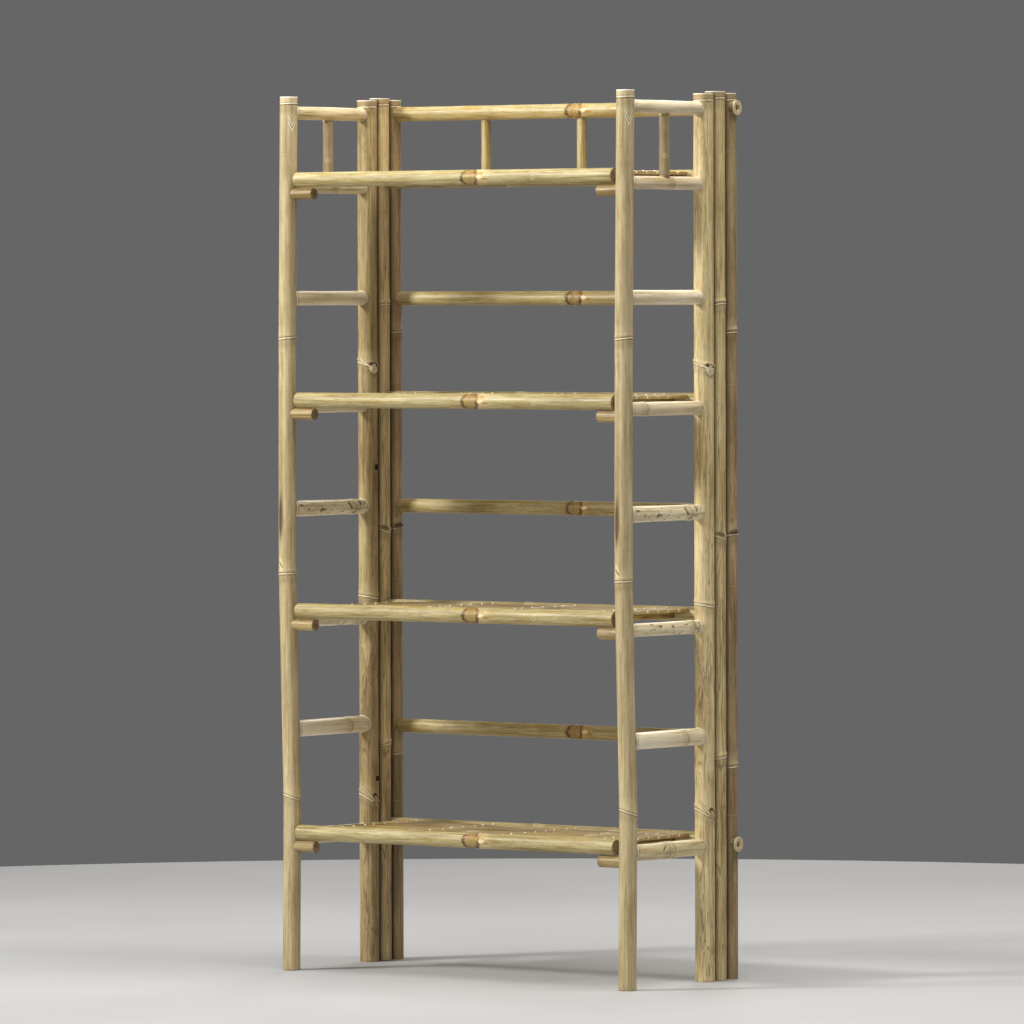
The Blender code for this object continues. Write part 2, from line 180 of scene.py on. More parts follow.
@dataclass
class Mark:
    """A scar, bud or stain on a cane, at an angle given in degrees. Its kind picks the pattern in the
    finish, and stain and wear spread over its size (along the cane, then round it in radians)."""

    kind: int
    at: float
    angle: float
    reach: float = 0.05
    stain: float = 0.0
    wear: float = 0.0
    size: tuple = (0.03, 0.5)
    lift: float = 0.0

    def __post_init__(self):
        self.angle = math.radians(self.angle)


@dataclass
class Notch:
    """A pocket cut into a cane down to a floor radius, between two angles in degrees."""

    at: float
    half: float
    first: float
    last: float
    floor: float

    def inside(self, angle, at):
        """Where a ring of angles at a distance along the cane lies in the pocket."""
        middle = math.radians((self.first + self.last) / 2)
        reach = math.radians((self.last - self.first) / 2)
        near = abs(at - self.at) <= self.half + 1e-6
        return (np.abs(wrap(angle - middle)) <= reach) & near


@dataclass
class Cut:
    """A cane end cut square: a rounded rim, the wall's end grain, and the hollow down to a diaphragm."""

    wall: float = 0.005
    depth: float = 0.012
    hollow: bool = True
    rim: bool = True

    def rings(self, radius):
        """(distance in from the end, radius, whether it is cut wood) from the rim inwards."""
        found = [(0.0007, radius - 0.0001, 0), (0.0002, radius - 0.0005, 0), (0.0, radius - 0.0011, 1)]
        inner = radius - self.wall
        found.append((0.0, (radius + inner) / 2, 1))
        found.append((0.0002, inner + 0.0004, 1))
        if not self.hollow:
            return found
        found.append((0.0012, inner, 1))
        for depth_share, radius_share in ((0.6, 0.985), (0.95, 0.93), (1.0, 0.75), (1.05, 0.3)):
            found.append((self.depth * depth_share, inner * radius_share, 1))
        return found


class Saddle:
    """A cane end hollowed to fit round a post of a given radius, whose axis passes through the end. The
    post's own width lies along across."""

    rim = True
    bevel = 0.0034

    def __init__(self, radius, across):
        self.radius = radius
        self.across = np.asarray(across, float)

    def reach(self, offset):
        """How far past the nominal end the cane goes, for points offset sideways from its axis."""
        width = np.clip(offset @ self.across, -self.radius * 0.999, self.radius * 0.999)
        return -np.sqrt(self.radius**2 - width**2)

    def rings(self, radius):
        """The same as a cut's rings: a bevel of cut wood, and a little of the wall behind it."""
        bevel = self.bevel
        return [
            (bevel, radius - 0.0001, 0),
            (bevel * 0.75, radius - 0.15 * bevel, 1),
            (bevel * 0.35, radius - 0.45 * bevel, 1),
            (bevel * 0.08, radius - 0.85 * bevel, 1),
            (0.0, radius - bevel, 1),
            (0.0, radius - bevel - 0.003, 1),
        ]


NODE_STATIONS = np.concatenate(
    [
        np.linspace(-0.022, -0.004, 7),
        np.linspace(-0.003, 0.005, 17),
        np.linspace(0.006, 0.014, 9),
        np.linspace(0.017, 0.030, 4),
    ]
)
END_STATIONS = np.array([0.0032, 0.0046, 0.0065, 0.009, 0.0125, 0.0145, 0.017, 0.022])
LEAST_SPACING = 0.00035
WALL_RUN = 0.0002  # the length over which a notch's end wall drops to its floor
FAR = 0.1  # the distance written where no node or end is near
NO_MARK = (1.0, 1.0, 0.0)  # across, up and kind where there is no mark


def stations(length, step, nodes, marks, notches):
    """Distances along a cane at which it gets a ring of points."""
    found = [np.linspace(0, length, max(3, int(length / step) + 1))[1:-1]]
    found.append(END_STATIONS)
    found.append(length - END_STATIONS)
    for node in nodes:
        found.append(node.at + NODE_STATIONS)
    for mark in marks:
        spacing = 0.0015 if mark.lift else 0.004
        found.append(np.arange(mark.at - mark.reach, mark.at + mark.reach, spacing))
    every = np.sort(np.concatenate(found))
    every = every[(every >= END_STATIONS[0]) & (every <= length - END_STATIONS[0])]
    kept = [every[0]]
    for value in every[1:]:
        if value - kept[-1] > LEAST_SPACING:
            kept.append(value)
    kept = np.array(kept)
    for notch in notches:
        kept = kept[np.abs(np.abs(kept - notch.at) - notch.half) > 0.0003]
        edges = [notch.at - notch.half, notch.at + notch.half]
        kept = np.sort(np.concatenate([kept, edges, np.array(edges) + [-WALL_RUN, WALL_RUN]]))
    return kept


class Cane:
    """A bamboo cane as rings of points, each square to the way the cane goes unless a saddle, a notch or
    a tilted node shifts it. Angles are measured about the cane from side."""

    def __init__(
        self, start, along, side, length, radius, end_radius=None, nodes=(), marks=(), notches=(),
        ends=None, shift=None, sides=40, step=0.009, seed=0, oval=0.02, wander=0.00022,
        rise_share=None, flare=0.0, flare_reach=0.014, touching=(),
    ):
        self.start = np.asarray(start, float)
        self.along = np.asarray(along, float)
        self.side = np.asarray(side, float)
        self.other = np.cross(self.along, self.side)
        self.length = length
        self.radius = radius
        self.end_radius = radius if end_radius is None else end_radius
        self.nodes = nodes
        self.marks = marks
        self.notches = notches
        self.low_end, self.high_end = ends or (Cut(), Cut())
        self.shift = shift
        self.sides = sides
        self.step = step
        self.oval = oval
        self.wander = wander
        self.rise_share = rise_share
        self.flare = flare
        self.flare_reach = flare_reach
        self.touching = touching
        self.angle = np.linspace(0, FULL_TURN, sides, endpoint=False)
        self.out = np.cos(self.angle)[:, None] * self.side + np.sin(self.angle)[:, None] * self.other
        random = np.random.default_rng(seed)
        self.phases = random.uniform(0, FULL_TURN, (6, 2))
        self.turns = random.integers(1, 5, 6)
        self.waves = random.uniform(1.5, 9.0, 6)
        self.offset = random.uniform(-3, 3, 3)
        self.rows = []
        self.zones = []
        self.places = []
        self.end_distances = []

    def flared(self, at):
        """How much the cane widens towards its far end."""
        return self.flare * bell(self.length - at, self.flare_reach)

    def skin_radius(self, at):
        """The radius at each angle, at a distance along the cane."""
        plain = self.radius + (self.end_radius - self.radius) * at / self.length
        value = plain * (1 + self.oval * np.cos(2 * self.angle + self.phases[0, 0]) / 2)
        value = value - plain * self.oval / 2
        for turn, wave, (first, second) in zip(self.turns, self.waves, self.phases):
            value += self.wander / 6 * (np.sin(turn * self.angle + first + FULL_TURN * wave * at) - 1)
            value += self.wander / 8 * np.sin(FULL_TURN * wave * at * 2.3 + second)
        for node in self.nodes:
            share = 1.0 if self.rise_share is None else self.rise_share(self.angle)
            value = value + node.rise(at - node.at) * share
        value = value + self.flared(at)
        for mark in self.marks:
            spread = wrap(self.angle - mark.angle) / mark.size[1]
            value = value + mark.lift * bell(spread, 1.0) * bell(at - mark.at, mark.size[0])
        return value

    def add_ring(self, at, ring_radius, reach, zone, end_distance):
        """A ring of points. Its zone is 0 for skin and 1 for cut wood."""
        centre = self.start + self.along * at + (self.shift(at) if self.shift else 0.0)
        self.rows.append(centre + ring_radius[:, None] * self.out + reach[:, None] * self.along)
        self.zones.append(zone)
        self.places.append(at)
        self.end_distances.append(end_distance)

    def add_end(self, end, low):
        edge = 0.0 if low else self.length
        sign = 1.0 if low else -1.0
        base = self.skin_radius(edge) - self.flared(edge)
        trim = base - base.mean()
        rings = end.rings(float(self.radius if low else self.end_radius))
        for inset, ring_radius, zone in reversed(rings) if low else rings:
            ring = np.maximum(ring_radius + trim * (zone == 0 or inset < 0.001), 0.0004)
            ring = np.minimum(ring, base)
            reach = np.zeros(self.sides)
            if isinstance(end, Saddle):
                reach = -sign * end.reach(ring[:, None] * self.out)
            ring = ring + self.flared(edge)
            self.add_ring(edge + sign * inset, ring, reach, zone, inset if end.rim else FAR)

    def add_skin_ring(self, at):
        ring = self.skin_radius(at)
        reach = np.zeros(self.sides)
        for end, edge, sign in ((self.low_end, 0.0, 1.0), (self.high_end, self.length, -1.0)):
            near = 1 - smooth(abs(at - edge), 0.0, 2.2 * self.radius)
            if isinstance(end, Saddle) and near > 0:
                reach = reach - sign * near * end.reach(ring[:, None] * self.out)
        for node in self.nodes:
            near = 1 - smooth(abs(at - node.at), 0.008, 0.05)
            reach = reach + near * node.tilt * self.radius * np.cos(self.angle - node.towards)
        for notch in self.notches:
            ring = np.where(notch.inside(self.angle, at), notch.floor, ring)
            level = notch.inside(self.angle, notch.at) & (abs(at - notch.at) < 0.012)
            reach = np.where(level, 0.0, reach)
        from_low = at if self.low_end.rim else FAR
        from_high = self.length - at if self.high_end.rim else FAR
        self.add_ring(at, ring, reach, 0, min(from_low, from_high))

    def attributes(self, grid):
        """What the finishes read: the place on the cane, how near nodes and ends are, and the marks."""
        count = len(grid) * self.sides
        places = np.array(self.places)
        node_distance = np.full(len(grid), FAR)
        for node in self.nodes:
            near = places - node.at
            node_distance = np.where(np.abs(near) < np.abs(node_distance), near, node_distance)
        angle = np.tile(self.angle, len(grid))
        place = np.repeat(places, self.sides)
        stain, wear, gap_shade = np.zeros(count), np.zeros(count), np.zeros(count)
        # Painted shade along the sides where the cane touches its neighbours.
        for degrees in self.touching:
            gap_shade = np.maximum(gap_shade, bell(wrap(angle - math.radians(degrees)), 0.95))
        mark_place = np.tile(NO_MARK, (count, 1))
        for mark in self.marks:
            turn = wrap(angle - mark.angle)
            up = place - mark.at
            soft = bell(up, mark.size[0]) * bell(turn, mark.size[1])
            stain += mark.stain * soft
            wear += mark.wear * soft
            inside = (np.abs(turn) < 1.5) & (np.abs(up) < mark.reach)
            marked = np.stack([turn * self.radius, up, np.full(count, float(mark.kind))], axis=-1)
            mark_place[inside] = marked[inside]
        flat = grid.reshape(-1, 3) - self.start
        local = np.stack([flat @ self.side, flat @ self.other, flat @ self.along], axis=-1) + self.offset
        tips = [local[: self.sides].mean(axis=0), local[-self.sides :].mean(axis=0)]
        return {
            "cane": np.concatenate([local, tips]),
            "node_d": np.append(np.repeat(node_distance, self.sides), [FAR, FAR]),
            "end_d": np.append(np.repeat(self.end_distances, self.sides), [0.0, 0.0]),
            "rise": np.append(place, [0.0, self.length]),
            "stain": np.append(stain, [0.0, 0.0]),
            "wear": np.append(wear, [0.0, 0.0]),
            "gap_shade": np.append(gap_shade, [0.0, 0.0]),
            "mark": np.concatenate([mark_place, [NO_MARK, NO_MARK]]),
        }

    def make(self, name, finishes):
        """The mesh. Faces of cut wood and of notches get the second finish."""
        self.add_end(self.low_end, True)
        for at in stations(self.length, self.step, self.nodes, self.marks, self.notches):
            self.add_skin_ring(at)
        self.add_end(self.high_end, False)
        grid = np.array(self.rows)
        cut_from = {ring for ring, zones in enumerate(zip(self.zones, self.zones[1:])) if any(zones)}
        points, faces, face_finish = loft(grid, cut_from)
        for ring, at in enumerate(self.places[:-1]):
            for notch in self.notches:
                for spot in np.flatnonzero(notch.inside(self.angle, at)):
                    face_finish[ring * self.sides + spot] = 1
                    face_finish[ring * self.sides + (spot - 1) % self.sides] = 1
                    face_finish[(ring - 1) * self.sides + spot] = 1
        return mesh_piece(name, points, faces, face_finish, finishes, self.attributes(grid))


# Materials


def linear(red, green, blue):
    """A colour given as it looks on a screen, 0 to 255, as the linear colour a shader takes."""
    found = []
    for value in (red, green, blue):
        value = value / 255
        found.append(value / 12.92 if value <= 0.04045 else ((value + 0.055) / 1.055) ** 2.4)
    return (*found, 1.0)


class Field:
    """A number or colour that varies over a surface. Sums with it add maths nodes to the material."""

    def __init__(self, graph, socket):
        self.graph = graph
        self.socket = socket

    def maths(self, operation, other=0.0):
        return self.graph.add("ShaderNodeMath", {0: self, 1: other, 2: 0.0}, operation=operation)

    def __add__(self, other):
        return self.maths("ADD", other)

    def __sub__(self, other):
        return self.maths("SUBTRACT", other)

    def __mul__(self, other):
        return self.maths("MULTIPLY", other)

    def __pow__(self, other):
        return self.maths("POWER", other)

    def __abs__(self):
        return self.maths("ABSOLUTE")

    def largest(self, other):
        return self.maths("MAXIMUM", other)

    def clamped(self):
        """The same sum, kept between 0 and 1."""
        self.socket.node.use_clamp = True
        return self

    def spread(self, low, high, to_low=0.0, to_high=1.0):
        """The value carried smoothly from one range to another."""
        values = {"Value": self, "From Min": low, "From Max": high, "To Min": to_low, "To Max": to_high}
        return self.graph.add("ShaderNodeMapRange", values, interpolation_type="SMOOTHSTEP")

    def band(self, centre, half, edge):
        """1 within half of centre, fading out over edge."""
        return abs(self - centre).spread(half, half + edge, 1.0, 0.0)


class Graph:
    """A material's nodes, made one call at a time, and the colour painted so far. A colour is a field,
    or red, green and blue from 0 to 255. Its place is a node, the node's output and an attribute's name."""

    def __init__(self, name, place=("ShaderNodeAttribute", "Vector", "cane")):
        self.material = bpy.data.materials.new(name)
        self.material.use_nodes = True
        self.tree = self.material.node_tree
        self.colour = None
        kind, output, attribute = place
        settings = {"attribute_name": attribute} if attribute else {}
        self.place = self.add(kind, output=output, **settings)

    def add(self, kind, values=None, output=0, **settings):
        """A new node with its values and settings, as the field at its output."""
        node = self.tree.nodes.new(kind)
        for key, value in settings.items():
            setattr(node, key, value)
        for key, value in (values or {}).items():
            self.put(node.inputs[key], value)
        return Field(self, node.outputs[output])

    def put(self, socket, value):
        if isinstance(value, Field):
            self.tree.links.new(value.socket, socket)
        elif socket.type == "RGBA":
            socket.default_value = linear(*value)
        else:
            socket.default_value = value

    def value(self, name):
        """A number written on the mesh."""
        return self.add("ShaderNodeAttribute", output="Fac", attribute_name=name)

    def noise(self, scale, detail=2.0, roughness=0.5, distortion=0.0, squash=1.0):
        """Noise, drawn out into streaks along the piece where squash is less than 1."""
        place = self.place
        if squash != 1.0:
            place = self.add("ShaderNodeVectorMath", {0: place, 1: (1, 1, squash)}, operation="MULTIPLY")
        values = {"Vector": place, "Scale": scale, "Detail": detail, "Roughness": roughness}
        values["Distortion"] = distortion
        return self.add("ShaderNodeTexNoise", values, output="Fac")

    def ramp(self, value, stops):
        made = self.add("ShaderNodeValToRGB", {"Fac": value}, output="Color")
        elements = made.socket.node.color_ramp.elements
        while len(elements) < len(stops):
            elements.new(0.5)
        for element, (place, colour) in zip(elements, stops):
            element.position = place
            element.color = linear(*colour)
        return made

    def mix(self, factor, first, second):
        values = {"Factor": factor, "A": first, "B": second}
        return self.add("ShaderNodeMix", values, output="Result", data_type="RGBA", blend_type="MIX")

    def paint(self, mask, colour):
        """Lays a colour over the surface so far, as thickly as the mask says."""
        self.colour = self.mix(mask, self.colour, colour)

    def bump(self, height, distance, strength):
        return self.add("ShaderNodeBump", {"Height": height, "Distance": distance, "Strength": strength})

    def finish(self, roughness, normal, **constants):
        shader = self.tree.nodes["Principled BSDF"]
        self.put(shader.inputs["Base Color"], self.colour)
        self.put(shader.inputs["Roughness"], roughness)
        self.put(shader.inputs["Normal"], normal)
        for key, value in constants.items():
            shader.inputs[key.replace("_", " ")].default_value = value
        return self.material


OBJECT_PLACE = ("ShaderNodeTexCoord", "Object", None)
STAIN = (88, 62, 40)
SCAR_PALE = (226, 206, 160)
# Dark scar colour, also used as painted shade near cut ends.
DARK_SCAR_AND_SHADE = (104, 82, 52)
SLIT = (46, 33, 22)
# Painted shade colour for the gaps where canes touch.
GAP_SHADE_COLOUR = (56, 43, 27)
CAP_PALE = (216, 198, 158)
CAP_BROWN = (150, 124, 86)
PATCH_GOLD = (164, 134, 68)
PATCH_BROWN = (92, 62, 20)


def cane_finish(
    name, *colours, streak=1.0, cracks=0.0, speckles=0.2, gloss=0.36, coat=0.0, weathered=0.0,
    figure=0.0, blotches=0.0, smears=0.0, cap=None, lip=0.35, ring=0.9, wave=0.0006, rim_size=0.0022,
):
    """Bamboo skin from three colours, dark to pale: streaks along the fibres, blotches, lines at the nodes,
    scars, stains and wear, with painted shade where it touches its neighbours and near its cut ends, and a
    pale rim that is partly a painted highlight."""
    skin = Graph(name)
    broad = skin.noise(170, 4.0, 0.6, 0.3, squash=0.045)
    fine = skin.noise(900, 3.0, 0.6, squash=0.018)
    slow = skin.noise(16, 3.0, 0.5, squash=0.35)
    mottle = skin.noise(130, 4.0, 0.65, 0.8, squash=0.5)
    tone = (broad - 0.5) * (2.0 * streak) + 0.5
    tone = tone + (slow - 0.5) * 1.1 + (fine - 0.5) * (1.5 * streak) + (mottle - 0.5) * 0.5
    skin.colour = skin.ramp(tone.clamped(), tuple(zip((0.08, 0.5, 0.92), colours)))

    def fleck(amount, colour, low, high, *noise, squash):
        if amount:
            skin.paint(skin.noise(*noise, squash=squash).spread(low, high, 0.0, amount), colour)

    fleck(cracks, (92, 70, 42), 0.60, 0.68, 330, 5.0, 0.62, 0.6, squash=0.022)
    if figure:
        folds = (skin.noise(44, 2.0, 0.5, 0.4, squash=0.055) * 17.0).maths("FRACT")
        patchy = skin.noise(22, 2.0, squash=0.4).spread(0.32, 0.50)
        fading = skin.value("rise").spread(0.4, 1.5, figure, 0.45 * figure)
        skin.paint(folds.band(0.5, 0.04, 0.14) * patchy * fading, (84, 58, 26))
    fleck(blotches, (112, 77, 40), 0.60, 0.65, 85, 3.0, 0.5, 0.6, squash=0.55)
    fleck(smears, (172, 140, 66), 0.60, 0.66, 75, 3.0, 0.5, 0.5, squash=0.22)
    fleck(weathered, (134, 106, 62), 0.52, 0.72, 60, 5.0, 0.7, 0.7, squash=0.16)
    fleck(speckles, (96, 74, 46), 0.70, 0.76, 420, 2.0, 0.6, squash=0.6)

    wavy = (skin.noise(75, 3.0) - 0.5) * (4 * wave)
    broken = skin.noise(150, 2.0).spread(0.32, 0.55, 0.35, 1.0)
    node_lines(skin, skin.value("node_d") + wavy, broken, ring)
    skin.paint(skin.value("stain").spread(0.12, 0.75, 0.0, 0.92), STAIN)
    worn = skin.value("wear") * broad.spread(0.35, 0.60)
    skin.paint(worn.spread(0.10, 0.60, 0.0, 0.85), SCAR_PALE)
    dent = scars(skin)

    end_d = skin.value("end_d")
    if cap:
        cap_lines(skin, wavy * 3.0 + end_d, broken, cap, lip)
    else:
        # Painted shade in a band a few millimetres in from each rimmed cut end.
        skin.paint(end_d.band(0.0065, 0.0020, 0.0040) * 0.40, DARK_SCAR_AND_SHADE)
    # Painted shade in the gaps where the cane touches its neighbours.
    gap_shade_mask = skin.value("gap_shade") + (broad - 0.5) * 0.5
    skin.paint(gap_shade_mask.spread(0.42, 0.92, 0.0, 0.90), GAP_SHADE_COLOUR)
    # Pale cut edge, carried onto the skin beside it as a painted highlight.
    skin.paint(end_d.spread(rim_size * 0.6, rim_size, 0.95, 0.0), (254, 248, 232))

    rough = mottle.spread(0.3, 0.75, gloss - 0.07, gloss + 0.16)
    height = fine * 0.5 + broad * 0.6 - dent * 1.6
    normal = skin.bump(height, 0.00045, 0.75)
    return skin.finish(rough, normal, Coat_Weight=coat, Coat_Roughness=0.22, Specular_IOR_Level=0.45)


def node_lines(skin, up, broken, ring):
    """The pale bloom, sheath scar and groove at a node, by the height above it."""
    skin.paint(up.band(0.012, 0.006, 0.020) * 0.30, SCAR_PALE)
    skin.paint(up.band(-0.010, 0.003, 0.012) * 0.22, DARK_SCAR_AND_SHADE)
    skin.paint(up.band(-0.0017, 0.0006, 0.0012) * broken * 0.75, DARK_SCAR_AND_SHADE)
    skin.paint(up.band(0.0003, 0.0007, 0.0008) * broken * ring, (246, 234, 202))
    skin.paint(up.band(0.0029, 0.0005, 0.0010) * broken * 0.65, DARK_SCAR_AND_SHADE)


def cap_lines(skin, down, broken, cap, lip):
    """The band of another colour at a post's end, by the distance from the end, with a pale edge."""
    skin.paint(down.spread(0.0110, 0.0150, 0.55, 0.0), cap)
    skin.paint(down.band(0.0162, 0.0004, 0.0010) * broken * 0.6, DARK_SCAR_AND_SHADE)
    patches = skin.noise(60, 2.0).spread(0.40, 0.58, 0.15 * lip, lip)
    skin.paint(down.band(0.0138, 0.0008, 0.0010) * broken * patches, (250, 242, 218))


def scars(skin):
    """Draws each kind of mark in its own coordinates: across and up, in metres. Returns how deep the
    surface is dented."""
    mark = skin.add("ShaderNodeAttribute", output="Vector", attribute_name="mark")
    parts = skin.add("ShaderNodeSeparateXYZ", {0: mark}).socket.node.outputs
    across, up, kind = (Field(skin, part) for part in parts)
    ragged = (skin.noise(240, 3.0, 0.6) - 0.5) * 0.0035
    here = {number: kind.band(float(number), 0.3, 0.05) for number in range(1, 8)}

    # Kind 1, a slit bud: a pale oval round a dark slanting slit.
    lean = up + across * 1.1
    oval = ellipse(across, lean, (0.0, 0.0), (0.007, 0.014), ragged, 0.0)
    skin.paint(oval.spread(0.75, 1.15, 0.85, 0.0) * here[1], SCAR_PALE)
    slit = (abs(lean) + ragged).spread(0.0008, 0.0022, 1.0, 0.0)
    slit = slit * abs(across).spread(0.004, 0.0065, 1.0, 0.0) * here[1]
    skin.paint(slit, SLIT)

    # Kind 2, two nested chevrons cut by a knife, pointing down.
    fold = up - abs(across) * 2.2 + ragged * 0.5
    field = abs(across).spread(0.0075, 0.0100, 1.0, 0.0) * abs(up).spread(0.014, 0.018, 1.0, 0.0)
    field = field * here[2]
    chevrons = fold.band(-0.0150, 0.0010, 0.0016).largest(fold.band(-0.0040, 0.0008, 0.0014))
    skin.paint(chevrons * field, (252, 246, 226))
    gullies = fold.band(-0.0182, 0.0006, 0.0016).largest(fold.band(-0.0070, 0.0006, 0.0016))
    gullies = gullies * field * 0.45
    skin.paint(gullies, DARK_SCAR_AND_SHADE)

    # Kind 3, a long pale V where the skin is worn off.
    vee = up - abs(across) * 4.0 + ragged * 16.0
    worn = vee.spread(-0.030, -0.012) * up.spread(0.030, 0.048, 1.0, 0.0)
    skin.paint(worn * here[3] * 0.42, SCAR_PALE)
    skin.paint(vee.band(-0.024, 0.002, 0.006) * here[3] * 0.4, DARK_SCAR_AND_SHADE)

    # Kind 4, a small eye: a pale disc with a dark ring and a dark middle.
    away = ellipse(across, up, (0.0, 0.0), (1.0, 1.0), ragged, 0.4)
    skin.paint(away.spread(0.0042, 0.0058, 0.8, 0.0) * here[4], SCAR_PALE)
    pupil = away.band(0.0030, 0.0003, 0.0007).largest(away.spread(0.0006, 0.0015, 1.0, 0.0)) * here[4]
    skin.paint(pupil * 0.85, DARK_SCAR_AND_SHADE)

    holes = branch_stub(skin, across, up, ragged, here[5])
    node_patch(skin, across, up, ragged, here[6])
    slash = torn_stub(skin, across, up, ragged, here[7])
    return slit.largest(gullies).largest(pupil).largest(holes).largest(slash)


def ellipse(across, up, centre, half, ragged, roughness):
    """1 on the edge of an ellipse, less inside it and more outside."""
    first = (across - centre[0]) * (1 / half[0])
    second = (up - centre[1]) * (1 / half[1])
    return ragged * roughness + (first**2.0 + second**2.0).maths("SQRT")


def branch_stub(skin, across, up, ragged, here):
    """Kind 5, the pale stump of a cut branch with dark holes over it."""
    lobe = ellipse(across, up, (0.0005, -0.003), (0.0115, 0.0112), ragged, 420.0)
    strands = skin.noise(300, 3.0, 0.6, 1.6)
    wood = skin.ramp(strands, ((0.40, (168, 132, 74)), (0.50, (255, 242, 200))))
    skin.paint(lobe.spread(0.65, 1.05, 0.95, 0.0) * here, wood)
    skin.paint(lobe.band(1.12, 0.04, 0.12) * here * 0.55, DARK_SCAR_AND_SHADE)
    tail = across * 0.42 + (up + ragged)
    tail = tail.band(-0.0045, 0.0010, 0.0014) * here * across.band(-0.016, 0.010, 0.004)
    skin.paint(tail * 0.9, (244, 232, 200))
    holes = 0.0
    for centre, half in (
        ((-0.0064, 0.0052), (0.0028, 0.0044)),
        ((-0.0005, 0.0088), (0.0034, 0.0026)),
        ((0.0054, 0.0062), (0.0022, 0.0050)),
    ):
        hole = ellipse(across, up, centre, half, ragged, 260.0)
        holes = hole.spread(0.75, 1.20, 1.0, 0.0).largest(holes)
    holes = holes * here
    skin.paint(holes * 0.9, SLIT)
    return holes


def node_patch(skin, across, up, ragged, here):
    """Kind 6, the golden brown shell-shaped patch at a pole's node. Here across runs down the front."""
    shell = ellipse(across, up, (0.0, 0.005), (0.0215, 0.0205), ragged, 260.0)
    inside = shell.spread(0.88, 1.0, 1.0, 0.0) * here
    low_part = across.spread(-0.008, 0.004)
    skin.paint(inside * 0.75, skin.mix(low_part, PATCH_GOLD, (168, 140, 78)))
    hairs = (ragged * 1500.0 + up * 1100.0).maths("SINE").spread(0.2, 0.8)
    skin.paint(hairs * inside * low_part * 0.5, PATCH_BROWN)
    swirl = skin.noise(210, 3.0, 0.6, 1.5).spread(0.46, 0.53)
    flanks = abs(up - 0.005).spread(0.006, 0.014)
    outline = shell.band(0.90, 0.13, 0.10) * here * (swirl + flanks).clamped()
    skin.paint(outline * 0.9, skin.mix(flanks, (138, 98, 30), (88, 57, 14)))
    skin.paint(swirl * inside * across.spread(-0.001, -0.008) * 0.7, (142, 100, 30))
    curl = ellipse(across, up, (-0.0060, 0.030), (0.0085, 0.0125), ragged, 300.0)
    skin.paint(curl.spread(0.85, 1.05, 1.0, 0.0) * here * swirl, (186, 142, 52))
    pale = ellipse(across, up, (0.0, 0.032), (0.0045, 0.0080), ragged, 420.0)
    skin.paint(pale.spread(0.7, 1.1, 0.85, 0.0) * here, (240, 224, 168))
    drop = ellipse(across, up, (0.0035, 0.044), (0.0026, 0.0100), ragged, 420.0)
    skin.paint(drop.spread(0.75, 1.1, 0.9, 0.0) * here, (162, 122, 44))


def torn_stub(skin, across, up, ragged, here):
    """Kind 7, a slanting slash of torn skin that ends in a dark, broken bud."""
    line = across * 0.80 + (up + ragged)
    reach = across.band(-0.008, 0.016, 0.003) * here
    skin.paint(line.band(-0.0040, 0.0009, 0.0010) * reach * 0.95, (240, 226, 188))
    dark = line.band(-0.0068, 0.0008, 0.0012).largest(line.band(-0.0010, 0.0007, 0.0012))
    skin.paint(dark * reach * 0.75, DARK_SCAR_AND_SHADE)
    bud = ellipse(across, up, (0.0040, 0.0010), (0.0085, 0.0110), ragged, 160.0)
    skin.paint(bud.spread(0.8, 1.0, 0.75, 0.0) * here, (186, 158, 106))
    rim = bud.band(1.02, 0.13, 0.12) * (across + up).spread(-0.001, 0.006)
    hole = ellipse(across, up, (-0.0020, 0.0050), (0.0022, 0.0026), ragged, 160.0)
    rim = rim.largest(hole.spread(0.6, 1.1, 1.0, 0.0)) * here
    skin.paint(rim * 0.9, SLIT)
    return rim


def end_grain(name, pale, brown):
    """Cut bamboo: pale wood with brown bundle dots that crowd towards the skin."""
    wood = Graph(name)
    values = {"Vector": wood.place, "Scale": 900.0, "Randomness": 0.9}
    dots = wood.add("ShaderNodeTexVoronoi", values, output="Distance")
    cloud = wood.noise(190, 4.0, 0.6)
    wood.colour = wood.ramp(cloud, ((0.25, brown), (0.55, pale), (0.85, (232, 214, 176))))
    wood.paint(dots.spread(0.18, 0.36, 0.75, 0.0), (112, 84, 50))
    normal = wood.bump(wood.noise(700, 3.0), 0.0004, 0.7)
    return wood.finish(cloud.spread(0.3, 0.8, 0.62, 0.82), normal)


def steel_finish(name, colour, metallic):
    """Dull plated steel, with fine drawn lines and a few tarnished spots."""
    steel = Graph(name, OBJECT_PLACE)
    spots = steel.noise(420, 4.0, 0.65)
    steel.colour = steel.mix(spots.spread(0.56, 0.70, 0.0, 0.7), colour, (120, 104, 84))
    normal = steel.bump(steel.noise(2600, 2.0, squash=0.1), 0.0001, 0.5)
    return steel.finish(spots.spread(0.4, 0.7, 0.34, 0.56), normal, Metallic=metallic)


def floor_finish():
    floor = Graph("studio_floor", OBJECT_PLACE)
    cloud = floor.noise(0.8, 4.0, 0.55)
    floor.colour = floor.ramp(cloud, ((0.3, (176, 176, 177)), (0.7, (184, 184, 184))))
    normal = floor.bump(floor.noise(160, 3.0), 0.0004, 0.25)
    return floor.finish(cloud.spread(0.3, 0.7, 0.55, 0.65), normal)


CUT_PALE = end_grain("cut_pale", (222, 204, 164), (186, 160, 112))
# Dark end grain, also used as painted shade on the end faces of the front poles and pegs.
DARK_CUT_AND_SHADE = end_grain("dark_cut_and_shade", (146, 126, 94), (104, 85, 58))
CUT_GOLD = end_grain("cut_gold", (206, 182, 126), (178, 150, 98))
CUT_RIM = end_grain("cut_rim", (252, 246, 230), (240, 228, 202))
FRONT_CANE = cane_finish(
    "front_post_cane", (160, 140, 98), (192, 173, 130), (212, 195, 153),
    streak=0.95, cracks=0.35, speckles=0.5, gloss=0.40, coat=0.08, cap=CAP_PALE, lip=0.85, ring=0.5,
)
